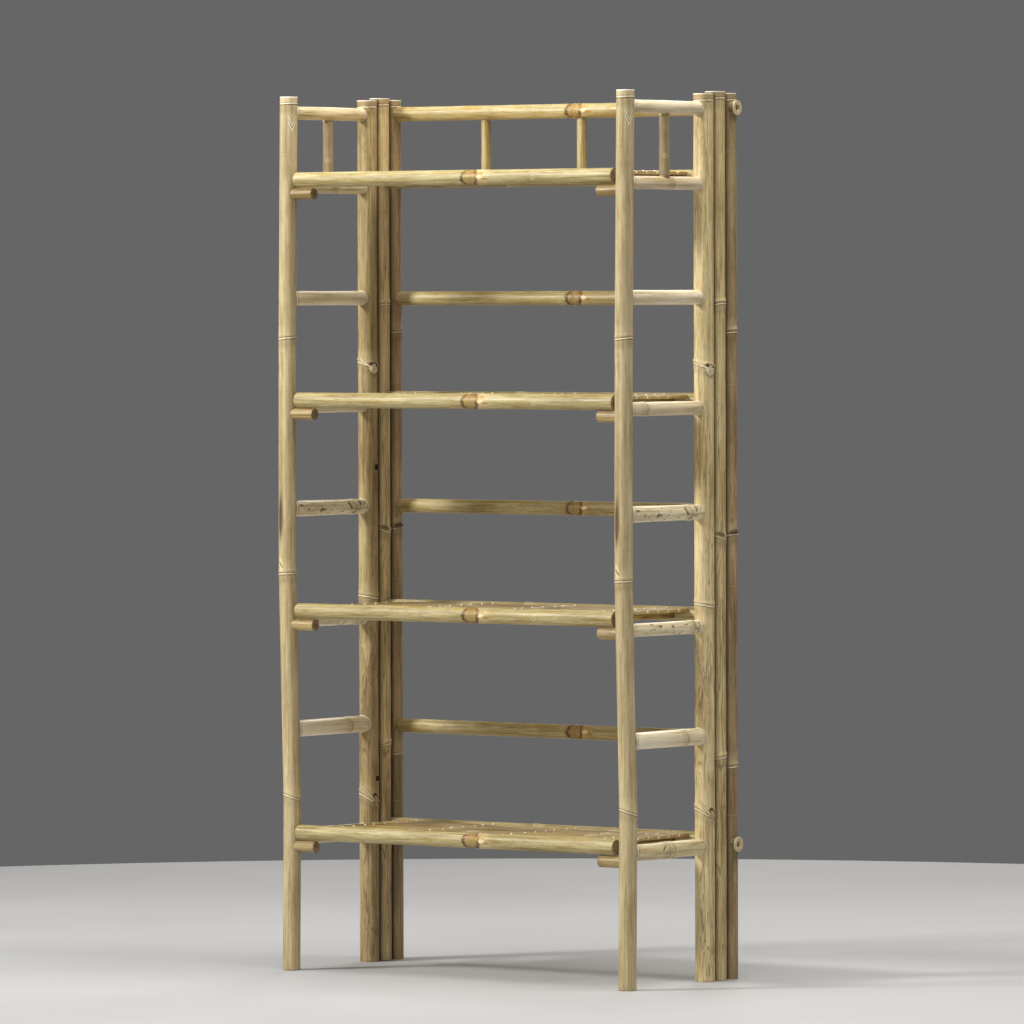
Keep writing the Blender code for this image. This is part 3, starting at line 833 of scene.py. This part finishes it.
# One hinge cane in two copies: darker on the left as painted shade, lighter on the right as painted light.
HINGE_SHADED_AND_LIT_COLOURS = {
    "left": ((130, 107, 68), (174, 153, 107), (203, 183, 136)),
    "right": ((172, 146, 98), (222, 200, 148), (246, 228, 180)),
}
HINGE_SHADED_AND_LIT_CANES = {
    side: cane_finish(
        f"hinge_post_cane_{side}", *colours, streak=0.75, cracks=0.35, speckles=0.3, gloss=0.44,
        weathered=0.40, figure=0.58, cap=CAP_BROWN, wave=0.0012,
    )
    for side, colours in HINGE_SHADED_AND_LIT_COLOURS.items()
}
PIVOT_CANE = cane_finish(
    "pivot_post_cane", (162, 136, 90), (210, 187, 134), (232, 212, 160), streak=0.8, cracks=0.4,
    speckles=0.35, gloss=0.44, weathered=0.35, figure=0.5, cap=CAP_BROWN, wave=0.0012,
)
BACK_CANE = cane_finish(
    "back_post_cane", (120, 98, 66), (162, 140, 100), (190, 167, 124), streak=0.8, cracks=0.4,
    speckles=0.45, gloss=0.46, weathered=0.4, figure=0.4, cap=CAP_BROWN, ring=0.7, wave=0.0012,
)
RUNG_CANE = cane_finish(
    "rung_cane", (192, 168, 126), (227, 209, 172), (245, 231, 200),
    streak=0.8, cracks=0.35, speckles=0.40, gloss=0.36, coat=0.12, rim_size=0.0062,
)
# The rung cane made lighter, as painted light, for rungs that stand in the open between shelves.
LIT_RUNG_CANE = cane_finish(
    "lit_rung_cane", (206, 184, 142), (243, 227, 192), (253, 245, 219),
    streak=0.8, cracks=0.35, speckles=0.40, gloss=0.36, coat=0.12, rim_size=0.0062,
)
SPOTTED_CANE = cane_finish(
    "spotted_rung_cane", (196, 175, 130), (240, 226, 188), (252, 244, 214),
    streak=0.9, cracks=0.3, speckles=0.3, gloss=0.40, coat=0.10, rim_size=0.0062, blotches=0.85,
)
OLIVE_CANE = cane_finish(
    "olive_rung_cane", (166, 144, 98), (212, 192, 146), (236, 220, 178),
    streak=1.1, cracks=0.6, speckles=0.4, gloss=0.38, coat=0.10, rim_size=0.0055,
)
SPINDLE_CANE = cane_finish(
    "side_spindle_cane", (120, 103, 72), (154, 137, 104), (178, 161, 127),
    streak=0.7, cracks=0.3, speckles=0.3, gloss=0.42,
)
POLE_CANE = cane_finish(
    "pole_cane", (136, 115, 62), (172, 156, 106), (198, 185, 138),
    streak=0.9, speckles=0.25, cracks=0.2, gloss=0.48, coat=0.05, figure=0.26, smears=0.6,
)
RAIL_CANE = cane_finish(
    "rail_cane", (142, 121, 66), (179, 162, 111), (201, 187, 141),
    streak=0.85, speckles=0.25, cracks=0.15, gloss=0.46, coat=0.05, figure=0.22, smears=0.7,
)
PEG_CANE = cane_finish(
    "peg_cane", (124, 100, 58), (160, 136, 88), (184, 160, 108),
    streak=1.0, cracks=0.3, speckles=0.3, gloss=0.42,
)
SLAT_CANE = cane_finish(
    "slat_cane", (112, 84, 38), (170, 141, 80), (203, 176, 110),
    streak=1.7, cracks=0.8, speckles=0.2, gloss=0.38, coat=0.08, smears=0.3,
)
STEEL = steel_finish("plated_steel", (176, 176, 178), 0.85)
NAIL_STEEL = steel_finish("nail_heads", (252, 248, 236), 0.1)


def settle(piece, body, node):
    """The piece rides on its body and stands for the CAD node."""
    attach(piece, body)
    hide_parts(node)


# Uprights

INNER_X = box_of("hinge_post_right")[0][0] + COLLAR  # from the middle to the inner side of every post
FRONT_RADIUS = 0.0185
CAMERA_SIDE = -53.0  # the angle about an upright, from +X, that faces the camera
RIGHT_LOW = math.radians(CAMERA_SIDE - 90)  # a ring tilted towards this side is lower on the right
TOP_RING = 0.0148  # from the top of a post down to its last ring
POST_ENDS = (Cut(wall=0.0055, depth=0.010, rim=False), Cut(wall=0.0055, depth=0.014))
HINGE_POCKET = (60.0, 186.0)  # in degrees, on the right post; the left one mirrors it
POCKET_HALF = 0.0055
POCKET_FLOOR = 0.0036
FRONT_NODES = (
    Node(0.356, 0.34, RIGHT_LOW, ridge=0.0006, swell=0.0004),
    Node(0.818, 0.05, 1.0, ridge=0.0006, swell=0.0005),
    Node(1.303, 0.10, 0.6, ridge=0.0006, swell=0.0004),
)
FRONT_MARKS = (
    Mark(2, 1.744, CAMERA_SIDE + 25, reach=0.03, size=(0.012, 0.35)),
    Mark(0, 0.935, CAMERA_SIDE - 52, stain=0.95, size=(0.050, 0.42), reach=0.02),
    Mark(0, 1.03, CAMERA_SIDE - 60, stain=0.35, size=(0.035, 0.30), reach=0.02),
    Mark(1, 0.838, CAMERA_SIDE - 48, reach=0.03, size=(0.016, 0.45), wear=0.35, lift=0.0004),
    Mark(0, 1.33, CAMERA_SIDE - 20, wear=0.25, size=(0.06, 0.7), reach=0.02),
)
HINGE_NODES = (
    Node(0.340, 0.58, RIGHT_LOW, 0.0007, 0.0022, 0.0006),
    Node(0.762, 0.16, RIGHT_LOW, 0.0008, 0.0014),
    Node(1.245, 0.30, RIGHT_LOW, 0.0008, 0.0026, 0.0006),
)
HINGE_MARKS = (
    Mark(3, 0.630, CAMERA_SIDE - 8, reach=0.08, size=(0.05, 0.35)),
    Mark(5, 1.245, CAMERA_SIDE + 37, reach=0.03, size=(0.012, 0.45), lift=0.0022),
    Mark(7, 0.345, CAMERA_SIDE + 35, reach=0.04, size=(0.012, 0.45), lift=0.0018),
    Mark(0, 1.285, CAMERA_SIDE + 5, stain=0.30, size=(0.016, 0.25), reach=0.03),
    Mark(0, 0.305, CAMERA_SIDE + 10, stain=0.30, size=(0.020, 0.5), reach=0.03),
    Mark(0, 1.655, CAMERA_SIDE - 5, wear=0.4, size=(0.003, 0.4), reach=0.01),
    Mark(0, 1.690, CAMERA_SIDE + 10, wear=0.3, size=(0.002, 0.3), reach=0.01),
)
PIVOT_NODES = (
    Node(0.451, 0.15, 1.2, 0.0010, 0.0020),
    Node(0.901, 0.30, RIGHT_LOW, 0.0011, 0.0030),
    Node(1.370, 0.12, 0.4, 0.0010, 0.0020),
)
PIVOT_MARKS = (
    Mark(0, 0.925, CAMERA_SIDE + 35, stain=0.45, size=(0.012, 0.30), reach=0.03),
    Mark(0, 0.909, CAMERA_SIDE + 25, stain=0.75, size=(0.0050, 0.7), reach=0.01),
)
BACK_NODES = (
    Node(0.432, 0.12, 2.0, 0.0009, 0.0020),
    Node(0.903, 0.06, 1.2, 0.0014, 0.0034, 0.0010),
    Node(1.312, 0.12, 0.4, 0.0009, 0.0020),
)
BACK_MARKS = (
    Mark(0, 0.910, CAMERA_SIDE + 45, stain=0.90, size=(0.0060, 0.9), reach=0.02),
    Mark(0, 0.932, CAMERA_SIDE + 25, stain=0.45, size=(0.009, 0.35), reach=0.02),
)


def upright(node, body, slot, finish, nodes, marks, seed, centre=None, radius=None, **shape):
    """A post placed by its CAD node, unless a centre and radius are given, with one more ring under its
    top."""
    if centre is None:
        centre = middle_of(node)
        radius = half_size(node)[1] - COLLAR
    height = box_of(node)[1][2]
    top_ring = Node(height - TOP_RING, 0.03, 0.5, ridge=0.0003, swell=0.0, groove=0.0003)
    made = Cane(
        (centre[0], centre[1], 0.0), Z, X, height, radius, nodes=(*nodes, top_ring), marks=marks,
        ends=POST_ENDS, sides=56, step=0.008, seed=seed, **shape,
    )
    settle(made.make(node + "_cane", [finish, CUT_PALE]), body, node)


def sideways(angle):
    """Nodes stand proud at the sides, because the neighbouring uprights are close in front and behind."""
    return 0.25 + 0.75 * np.cos(angle) ** 2


def front_uprights():
    for side, sign in SIDES.items():
        centre = (sign * (INNER_X + FRONT_RADIUS), middle_of(f"shelf_peg_1_{side}")[1])
        upright(
            f"front_post_{side}", f"{side}_side_frame", "post_cane", FRONT_CANE, FRONT_NODES,
            FRONT_MARKS, 11, centre, FRONT_RADIUS, shift=bent, oval=0.012, wander=0.00015,
        )


def hinge_notches(side):
    """The pockets behind a hinge post in which the eyes of the back frame turn."""
    first, last = HINGE_POCKET
    if side == "left":
        first, last = 180 - last, 180 - first
    found = []
    for height in ("upper", "lower"):
        eye = middle_of(f"hinge_eye_{height}_{side}")
        found.append(Notch(eye[2], POCKET_HALF, first, last, POCKET_FLOOR))
    return found


def rear_uprights():
    for side in SIDES:
        upright(
            f"hinge_post_{side}", f"{side}_side_frame", "post_cane", HINGE_SHADED_AND_LIT_CANES[side], HINGE_NODES,
            HINGE_MARKS, 23, touching=(90.0,), rise_share=sideways, flare=0.0007,
            notches=hinge_notches(side),
        )
        upright(
            f"pivot_post_{side}", "back_frame", "post_cane", PIVOT_CANE, PIVOT_NODES, PIVOT_MARKS, 37,
            touching=(-90.0, 90.0), rise_share=sideways, flare=0.0012,
        )
        upright(
            f"back_post_{side}", "back_frame", "back_post_cane", BACK_CANE, BACK_NODES, BACK_MARKS, 41,
            touching=(-90.0,), rise_share=sideways,
        )


# Side frames

# The radii at the front post and at the hinge post, from the top rung down.
RUNG_RADII = (
    (0.0140, 0.0140),
    (0.0135, 0.0135),
    (0.0150, 0.0150),
    (0.0145, 0.0145),
    (0.0172, 0.0156),
    (0.0140, 0.0140),
    (0.0174, 0.0174),
    (0.0170, 0.0170),
)
RUNG_HEIGHTS = [middle_of(f"side_rung_{number}_right")[2] for number in range(1, 9)]
RUNG_LIP = 0.0013  # how much a rung widens where it meets the hinge post
RUNG_NODES = {
    2: [Node(0.150, 0.05, 0.0, 0.0002, 0.0003)],
    4: [Node(0.062, 0.12, 1.0, 0.0006, 0.0008)],
    5: [Node(0.205, 0.20, 0.6, 0.0008, 0.0010)],
    6: [Node(0.215, 0.15, 2.0, 0.0008, 0.0010)],
    7: [Node(0.188, 0.10, 2.5, 0.0005, 0.0006)],
    8: [Node(0.118, 0.25, 0.2, 0.0007, 0.0006), Node(0.134, 0.20, 0.4, 0.0007, 0.0008)],
}
# Rungs 3 and 7 take the lighter rung cane as painted light.
RUNG_FINISHES = {3: LIT_RUNG_CANE, 5: SPOTTED_CANE, 6: SPOTTED_CANE, 7: LIT_RUNG_CANE, 8: OLIVE_CANE}
SPINDLE_MARKS = (Mark(4, 0.055, CAMERA_SIDE + 5, reach=0.02, size=(0.005, 0.3), lift=0.0003),)
PEG_MARKS = (Mark(0, 0.0, 0.0, stain=0.30, size=(0.008, 9.0), reach=0.01),)
PEG_END = Cut(wall=0.0100, depth=0.002, rim=False)


def rung_marks(number, length):
    if number == 8:
        return [Mark(1, 0.100, -20.0, reach=0.03, size=(0.01, 0.3), stain=0.25)]
    if number not in (5, 6):
        return []
    return [
        Mark(0, length - 0.045, -35.0, stain=0.5, size=(0.010, 0.6), reach=0.02),
        Mark(0, length - 0.075, 20.0, stain=0.3, size=(0.006, 0.3), reach=0.02),
    ]


def side_rungs(side):
    sign = SIDES[side]
    post = middle_of(f"hinge_post_{side}")
    front_y = middle_of(f"shelf_peg_1_{side}")[1]
    hinge_radius = post[0] * sign - INNER_X
    for number, (front_radius, rear_radius) in enumerate(RUNG_RADII, 1):
        height = RUNG_HEIGHTS[number - 1]
        front = np.array([sign * (INNER_X + FRONT_RADIUS), front_y, height]) + bent(height)
        run = np.array([post[0], post[1], height]) - front
        length = float(np.linalg.norm(run))
        along = run / length
        across = np.cross(along, Z)
        made = Cane(
            front, along, across, length, front_radius, rear_radius, RUNG_NODES.get(number, []),
            rung_marks(number, length), sides=36, step=0.006, seed=60 + number,
            ends=(Saddle(FRONT_RADIUS + 2 * GAP, across), Saddle(hinge_radius + GAP, across)),
            flare=RUNG_LIP, flare_reach=0.0035,
        )
        olive = side == "left" and number <= 2
        finish = OLIVE_CANE if olive else RUNG_FINISHES.get(number, RUNG_CANE)
        node = f"side_rung_{number}_{side}"
        settle(made.make(node + "_cane", [finish, CUT_RIM]), f"{side}_side_frame", node)


def spindle(node, body, finish, rail_along, heights, rail_radii, seed, marks=()):
    """A short upright between two level canes, hollowed at both ends to fit round them."""
    x, y = middle_of(node)[:2]
    across = np.cross(Z, rail_along)
    made = Cane(
        (x, y, heights[0]), Z, X, heights[1] - heights[0], half_size(node) @ rail_along, marks=marks,
        ends=[Saddle(radius, across) for radius in rail_radii], sides=32, step=0.006, seed=seed,
    )
    settle(made.make(node + "_cane", [finish, CUT_PALE]), body, node)


def side_spindles(side):
    (top, _), (foot, _) = RUNG_RADII[:2]
    spindle(
        f"side_spindle_{side}", f"{side}_side_frame", SPINDLE_CANE, Y,
        (RUNG_HEIGHTS[1], RUNG_HEIGHTS[0]), (foot + GAP, top + GAP), 81, SPINDLE_MARKS,
    )


def level_cane(node, body, slot, finishes, start_x, length, radius, name=None, sign=1, **shape):
    """A cane along X, at the depth and height of its CAD node."""
    middle = middle_of(node)
    made = Cane((start_x, middle[1], middle[2]), X * sign, Z, length, radius, **shape)
    settle(made.make(name or node + "_cane", finishes), body, node)


def side_pegs(side):
    for number in range(1, 5):
        node = f"shelf_peg_{number}_{side}"
        low, high = box_of(node)
        # The peg's end faces take the dark end grain as painted shade.
        level_cane(
            node, f"{side}_side_frame", "peg_cane", [PEG_CANE, DARK_CUT_AND_SHADE],
            low[0] if side == "right" else high[0], high[0] - low[0], half_size(node)[2],
            sign=SIDES[side], marks=PEG_MARKS, ends=(PEG_END, PEG_END), sides=32, step=0.006,
            seed=90 + number, oval=0.03, wander=0.0003,
        )


# Back frame

BACK_POST_RADIUS = half_size("back_post_right")[1] - COLLAR
RAIL_RADIUS = half_size("back_rail_1")[2] - COLLAR
RAIL_NODE = 0.457  # from the inner side of the left posts
SKIN_GAP = 0.0001  # taken off the radii of the rails and tenons, to keep them inside the CAD
THROUGH_RAILS = (1, 6)
STUB_END = Cut(wall=0.0085, depth=0.020)
RAIL_SADDLE = Saddle(BACK_POST_RADIUS + GAP, Y)


def back_rails():
    for number in range(1, 7):
        node = f"back_rail_{number}"
        end_x = INNER_X + BACK_POST_RADIUS
        start_x = -end_x
        end = RAIL_SADDLE
        if number in THROUGH_RAILS:
            start_x, end_x = (corner[0] for corner in box_of(node))
            end = STUB_END
        node_at = RAIL_NODE - INNER_X - start_x
        level_cane(
            node, "back_frame", "rail_cane", [RAIL_CANE, CUT_PALE], start_x, end_x - start_x,
            RAIL_RADIUS - SKIN_GAP, nodes=[Node(node_at, 0.10, 1.0, 0.0004, 0.0006)],
            marks=[
                Mark(6, node_at, 85.0, reach=0.06, size=(0.01, 0.6)),
                Mark(0, node_at - 0.20, 60.0, stain=0.12, size=(0.05, 0.8), reach=0.02),
            ],
            ends=(end, end), sides=36, step=0.008, seed=100 + number,
        )


def back_spindles():
    heights = (middle_of("back_rail_2")[2], middle_of("back_rail_1")[2])
    saddle = RAIL_RADIUS + COLLAR + GAP
    for number in (1, 2):
        spindle(
            f"back_spindle_{number}", "back_frame", RAIL_CANE, X, heights,
            (saddle, saddle), 120 + number,
        )


# Shelves

FRONT_POLE_RADIUS = 0.0160
FRONT_POLE_NODE = 0.449  # from the left end of the front pole
REAR_POLE_RADIUS = 0.0155
SHOULDER = INNER_X - 0.002  # the rear pole's half length without its tenons
TENON = 0.0080
TENON_ROOT = 0.004  # how far a tenon reaches into the pole
FRONT_POLE_END = Cut(wall=0.0110, hollow=False, rim=False)
REAR_POLE_END = Cut(wall=0.008, hollow=False)
TENON_END = Cut(wall=0.003, hollow=False)
FRONT_POLE_NODES = (Node(FRONT_POLE_NODE + 0.022, 0.08, 2.0, 0.0002, 0.0007, 0.0002),)
FRONT_POLE_MARKS = (
    Mark(6, FRONT_POLE_NODE, 90.0, reach=0.06, size=(0.01, 0.6)),
    Mark(4, 0.616, 100.0, reach=0.02, size=(0.006, 0.3), lift=0.0002),
    Mark(0, 0.05, 60.0, stain=0.10, size=(0.05, 0.5), reach=0.02),
    Mark(0, 0.73, 160.0, stain=0.35, size=(0.012, 0.35), reach=0.02),
)


def shelf_poles(number):
    body = f"shelf_{number}"
    front = f"shelf_{number}_front_pole"
    low, high = box_of(front)
    # The front pole's end faces take the dark end grain as painted shade.
    level_cane(
        front, body, "pole_cane", [POLE_CANE, DARK_CUT_AND_SHADE], low[0], high[0] - low[0], FRONT_POLE_RADIUS,
        nodes=FRONT_POLE_NODES, marks=FRONT_POLE_MARKS, ends=(FRONT_POLE_END, FRONT_POLE_END),
        sides=40, step=0.008, seed=130 + number,
    )
    rear = f"shelf_{number}_rear_pole"
    level_cane(
        rear, body, "pole_cane", [POLE_CANE, CUT_PALE], -SHOULDER, 2 * SHOULDER, REAR_POLE_RADIUS,
        nodes=[Node(0.30 + 0.02 * number, 0.1, 0.5, 0.0006, 0.0008)],
        ends=(REAR_POLE_END, REAR_POLE_END), sides=36, step=0.010, seed=140 + number,
    )
    for side, sign in SIDES.items():
        level_cane(
            rear, body, "pole_cane", [POLE_CANE, CUT_PALE], sign * (SHOULDER - TENON_ROOT),
            box_of(rear)[1][0] - SHOULDER + TENON_ROOT, TENON - SKIN_GAP, f"shelf_{number}_tenon_{side}",
            sign, ends=(TENON_END, TENON_END), sides=24, step=0.006, seed=150 + number,
        )


SLAT_COUNT = 8
SLAT_PITCH = 0.0355
FIRST_SLAT = 0.030  # from the front pole
SLAT_WIDTH = 0.0330
SLAT_THICKNESS = 0.0070
BATTEN_X = (-0.315, -0.115, 0.095, 0.325)
BATTEN_WIDTH = 0.028
BATTEN_HEIGHT = 0.014
BATTEN_CORNER = 0.0016
NAIL_RADIUS = 0.0025
NAIL_SIDES = 14
# The share of the radius, and the height, from a nail head's edge to its middle.
NAIL_PROFILE = (
    (0.55, -0.001), (0.9, -0.0004), (1.0, 0.0004), (0.94, 0.0012), (0.72, 0.002), (0.36, 0.0025),
)


def slat_section(width, thickness, crown):
    """The cross-section of a split cane, as points (across, up) from the middle of its top."""
    half = width / 2
    low = 0.0012 - thickness
    upper = [(x, -crown * (x / half) ** 2) for x in np.linspace(-half + 0.0012, half - 0.0012, 9)]
    right = [(half - 0.0003, -crown - 0.0009), (half, -crown - 0.0022), (half - 0.0006, low)]
    places = np.linspace(half - 0.002, -half + 0.002, 7)
    lower = [(x, -thickness + 0.0008 * (1 - (x / half) ** 2)) for x in places]
    left = [(-x, z) for x, z in reversed(right)]
    return np.array(upper + right + lower + left)


def joined(parts):
    """Several (points, faces, finishes, attributes) sets as one."""
    points, faces, finishes, attributes = [], [], [], {}
    count = 0
    for part_points, part_faces, part_finish, part_attributes in parts:
        points.append(part_points)
        faces.extend(tuple(corner + count for corner in face) for face in part_faces)
        finishes.extend(part_finish)
        for key, values in part_attributes.items():
            attributes.setdefault(key, []).append(values)
        count += len(part_points)
    merged = {key: np.concatenate(values) for key, values in attributes.items()}
    return np.concatenate(points), faces, finishes, merged


def plank_attributes(local, node_distance, end_distance):
    """What the finishes read on a split cane: its place, nodes and ends, and no marks."""
    nothing = dict.fromkeys(("rise", "stain", "wear", "gap_shade"), np.zeros(len(local)))
    marks = np.tile(NO_MARK, (len(local), 1))
    return {"cane": local, "node_d": node_distance, "end_d": end_distance, "mark": marks, **nothing}


def one_slat(random, y, top, half_length):
    """A split cane lying along X, skin side up."""
    width = SLAT_WIDTH + random.uniform(0.0004, 0.0012)
    section = slat_section(width, SLAT_THICKNESS - 0.0002, random.uniform(0.0008, 0.0012))
    node_at = random.uniform(-0.28, 0.28)
    trim = random.uniform(0.0, 0.0015, 2)
    places = np.linspace(-half_length + trim[0], half_length - trim[1], 60)
    places = np.unique(np.round(np.sort(np.append(places, node_at + NODE_STATIONS)), 4))
    drift = random.uniform(-0.0005, 0.0005)
    phase = random.uniform(0, 6.28, 3)
    node = Node(0, swell=0.0007, ridge=0.0006)
    grid = np.zeros((len(places), len(section), 3))
    for row, x in zip(grid, places):
        sway = drift * x / half_length + 0.0003 * math.sin(9 * x + phase[0])
        squeeze = 1 + 0.012 * math.sin(14 * x + phase[1])
        rise = np.where(section[:, 1] > -0.004, node.rise(x - node_at), 0.0)
        row[:, 0] = x
        row[:, 1] = y + sway + section[:, 0] * squeeze
        row[:, 2] = np.minimum(top - 0.0008 + section[:, 1] + rise, top)
    points, faces, finish = loft(grid)
    along = points[:, 0]
    shift = random.uniform(-3, 3, 3)
    local = np.stack([points[:, 1] - y, points[:, 2] - top, along], axis=-1) + shift
    end_distance = np.minimum(along - places[0], places[-1] - along)
    return points, faces, finish, plank_attributes(local, along - node_at, end_distance)


def batten_section():
    """The outline of a batten, as points (across, up) from the middle of its top, with round corners."""
    side = BATTEN_WIDTH / 2 - 0.0004 - BATTEN_CORNER
    foot = 0.0003 - BATTEN_HEIGHT + BATTEN_CORNER
    found = []
    corners = ((side, -BATTEN_CORNER), (-side, -BATTEN_CORNER), (-side, foot), (side, foot))
    for quarter, (x, z) in enumerate(corners):
        for angle in (0, 30, 60, 90):
            turn = math.radians(90 * quarter + angle)
            found.append((x + BATTEN_CORNER * math.cos(turn), z + BATTEN_CORNER * math.sin(turn)))
    return np.array(found)


def one_batten(random, x, low_y, high_y, height, top):
    """A strip under the slats, hollowed at its ends to sit on the two poles."""
    outline = batten_section()
    z = top + outline[:, 1]
    front = low_y + np.sqrt((FRONT_POLE_RADIUS + COLLAR + GAP) ** 2 - (z - height) ** 2)
    rear = high_y - np.sqrt((REAR_POLE_RADIUS + GAP) ** 2 - (z - height) ** 2)
    shares = np.linspace(0, 1, 26)
    phase = random.uniform(0, 6.28)
    rows = []
    for share in shares:
        swell = 1 + 0.02 * math.sin(9 * share + phase)
        y = front + (rear - front) * share
        rows.append(np.stack([x + outline[:, 0] * swell, y, z], axis=-1))
    points, faces, finish = loft(np.array(rows)[:, ::-1])
    local = np.stack([points[:, 0] - x, points[:, 2] - top, points[:, 1]], axis=-1)
    local = local + random.uniform(-3, 3, 3)
    run = np.append(np.repeat(shares, len(outline)), [0.0, 1.0])
    end_distance = np.minimum(run, 1 - run) * (high_y - low_y)
    return points, faces, finish, plank_attributes(local, np.full(len(points), FAR), end_distance)


def one_nail(random, x, y, top):
    """A domed nail head, a little askew."""
    radius = NAIL_RADIUS * random.uniform(0.9, 1.05)
    angle = np.linspace(0, FULL_TURN, NAIL_SIDES, endpoint=False)
    lean = random.uniform(-0.12, 0.12, 2)
    rows = []
    for share, height in NAIL_PROFILE:
        across = radius * share * np.cos(angle)
        back = radius * share * np.sin(angle)
        tilt = lean[0] * across + lean[1] * back
        rows.append(np.column_stack([x + across, y + back, top + height + tilt]))
    points, faces, finish = loft(np.array(rows))
    return points, faces, [0] * len(finish), {}


def shelf_deck(number):
    random = np.random.default_rng(200 + number)
    node = f"shelf_{number}_deck"
    high = box_of(node)[1]
    top = high[2]
    front_y = middle_of(f"shelf_{number}_front_pole")[1]
    _, rear_y, height = middle_of(f"shelf_{number}_rear_pole")
    rows = [front_y + FIRST_SLAT + count * SLAT_PITCH for count in range(SLAT_COUNT)]

    def add(kind, parts, finishes):
        points, faces, face_finish, attributes = joined(parts)
        name = f"shelf_{number}_{kind}"
        made = mesh_piece(name, points, faces, face_finish, finishes, attributes)
        settle(made, f"shelf_{number}", node)

    slats = [one_slat(random, y, top, high[0]) for y in rows]
    add("slats", slats, [SLAT_CANE, CUT_GOLD])
    under = top - SLAT_THICKNESS
    battens = [one_batten(random, x, front_y, rear_y, height, under) for x in BATTEN_X]
    add("battens", battens, [SLAT_CANE, DARK_CUT_AND_SHADE])
    nails = []
    for x in BATTEN_X:
        for y in rows:
            nail_x = x + random.uniform(-0.004, 0.004)
            nail_y = y + random.uniform(-0.003, 0.003)
            nails.append(one_nail(random, nail_x, nail_y, top - 0.0004))
    add("nails", nails, [NAIL_STEEL])


# Stage, light and camera

LIGHT_AIM = Vector((0.0, 0.0, 0.95))
WARM = (1.0, 0.97, 0.92)
FLOOR_Z = -0.0005
FLOOR_REACH = 3.4
FLOOR_RINGS = 24
FLOOR_SPOKES = 96
CAMERA_PLACE = (9.98563, -13.21732, 1.39422)
CAMERA_TURN = math.radians(37.036)
CAMERA_LIFT = math.radians(1.546)
CAMERA_ROLL = math.radians(-0.159)
CAMERA_LENS = 284.7


def away_from_front(turn, lift):
    """The direction at an angle to the right of the front and an angle up, in radians."""
    return Vector(
        (math.sin(turn) * math.cos(lift), -math.cos(turn) * math.cos(lift), math.sin(lift))
    )


def area_light(name, azimuth, elevation, distance, size, watts, colour=(1, 1, 1)):
    """A square soft light round the object, at an azimuth where 0 is the front and 90 the right."""
    away = away_from_front(math.radians(azimuth), math.radians(elevation))
    data = bpy.data.lights.new(name, "AREA")
    data.shape = "SQUARE"
    data.size = size
    data.energy = watts
    data.color = colour
    lamp = bpy.data.objects.new(name, data)
    lamp.location = LIGHT_AIM + away * distance
    lamp.rotation_euler = (-away).to_track_quat("-Z", "Y").to_euler()
    bpy.context.scene.collection.objects.link(lamp)


def floor():
    """A round floor, with rings that lie closer together towards the middle."""
    angle = np.linspace(0, FULL_TURN, FLOOR_SPOKES, endpoint=False)
    rows = []
    for ring in range(1, FLOOR_RINGS + 1):
        radius = FLOOR_REACH * (ring / FLOOR_RINGS) ** 1.5
        level = np.full(FLOOR_SPOKES, FLOOR_Z)
        rows.append(np.stack([radius * np.cos(angle), radius * np.sin(angle), level], axis=-1))
    points = np.concatenate([*rows, [[0.0, 0.0, FLOOR_Z]]])
    faces = []
    for ring in range(FLOOR_RINGS - 1):
        here = ring * FLOOR_SPOKES
        beyond = here + FLOOR_SPOKES
        for spoke in range(FLOOR_SPOKES):
            after = (spoke + 1) % FLOOR_SPOKES
            faces.append((here + spoke, beyond + spoke, beyond + after, here + after))
    for spoke in range(FLOOR_SPOKES):
        faces.append((len(points) - 1, spoke, (spoke + 1) % FLOOR_SPOKES))
    return mesh_piece("studio_floor", points, faces, [0] * len(faces), [floor_finish()], {})


def studio():
    floor()
    world = bpy.data.worlds.new("studio")
    world.use_nodes = True
    background = world.node_tree.nodes["Background"]
    background.inputs["Color"].default_value = linear(102, 102, 103)
    background.inputs["Strength"].default_value = 1.0
    bpy.context.scene.world = world
    bpy.context.scene.view_settings.view_transform = "Standard"
    area_light("key", -36, 30, 5.2, 0.9, 258, (1.0, 0.985, 0.95))
    area_light("overhead", 20, 80, 4.2, 3.0, 165)
    area_light("front_fill", 30, 12, 5.5, 2.5, 28, WARM)
    area_light("fill_right", 100, 60, 5.0, 2.0, 95, (1.0, 0.95, 0.86))
    area_light("rear", 200, 25, 5.5, 2.5, 60, (1.0, 0.97, 0.90))


def camera():
    data = bpy.data.cameras.new("camera")
    data.sensor_width = 36.0
    data.lens = CAMERA_LENS
    data.clip_end = 100.0
    made = bpy.data.objects.new("camera", data)
    made.location = CAMERA_PLACE
    facing = -away_from_front(CAMERA_TURN, CAMERA_LIFT)
    aim = facing.to_track_quat("-Z", "Y").to_matrix()
    roll = Euler((0, 0, CAMERA_ROLL)).to_matrix()
    made.rotation_euler = (aim @ roll).to_euler()
    bpy.context.scene.collection.objects.link(made)
    bpy.context.scene.camera = made


camera()
studio()
front_uprights()
rear_uprights()
for side_name in SIDES:
    side_rungs(side_name)
    side_spindles(side_name)
    side_pegs(side_name)
back_rails()
back_spindles()
for shelf_number in range(1, 5):
    shelf_poles(shelf_number)
    shelf_deck(shelf_number)
for cad_name, cad_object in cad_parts.items():
    if cad_name.startswith(("hinge_rod", "hinge_eye")):
        cad_object.data.materials.clear()
        cad_object.data.materials.append(STEEL)
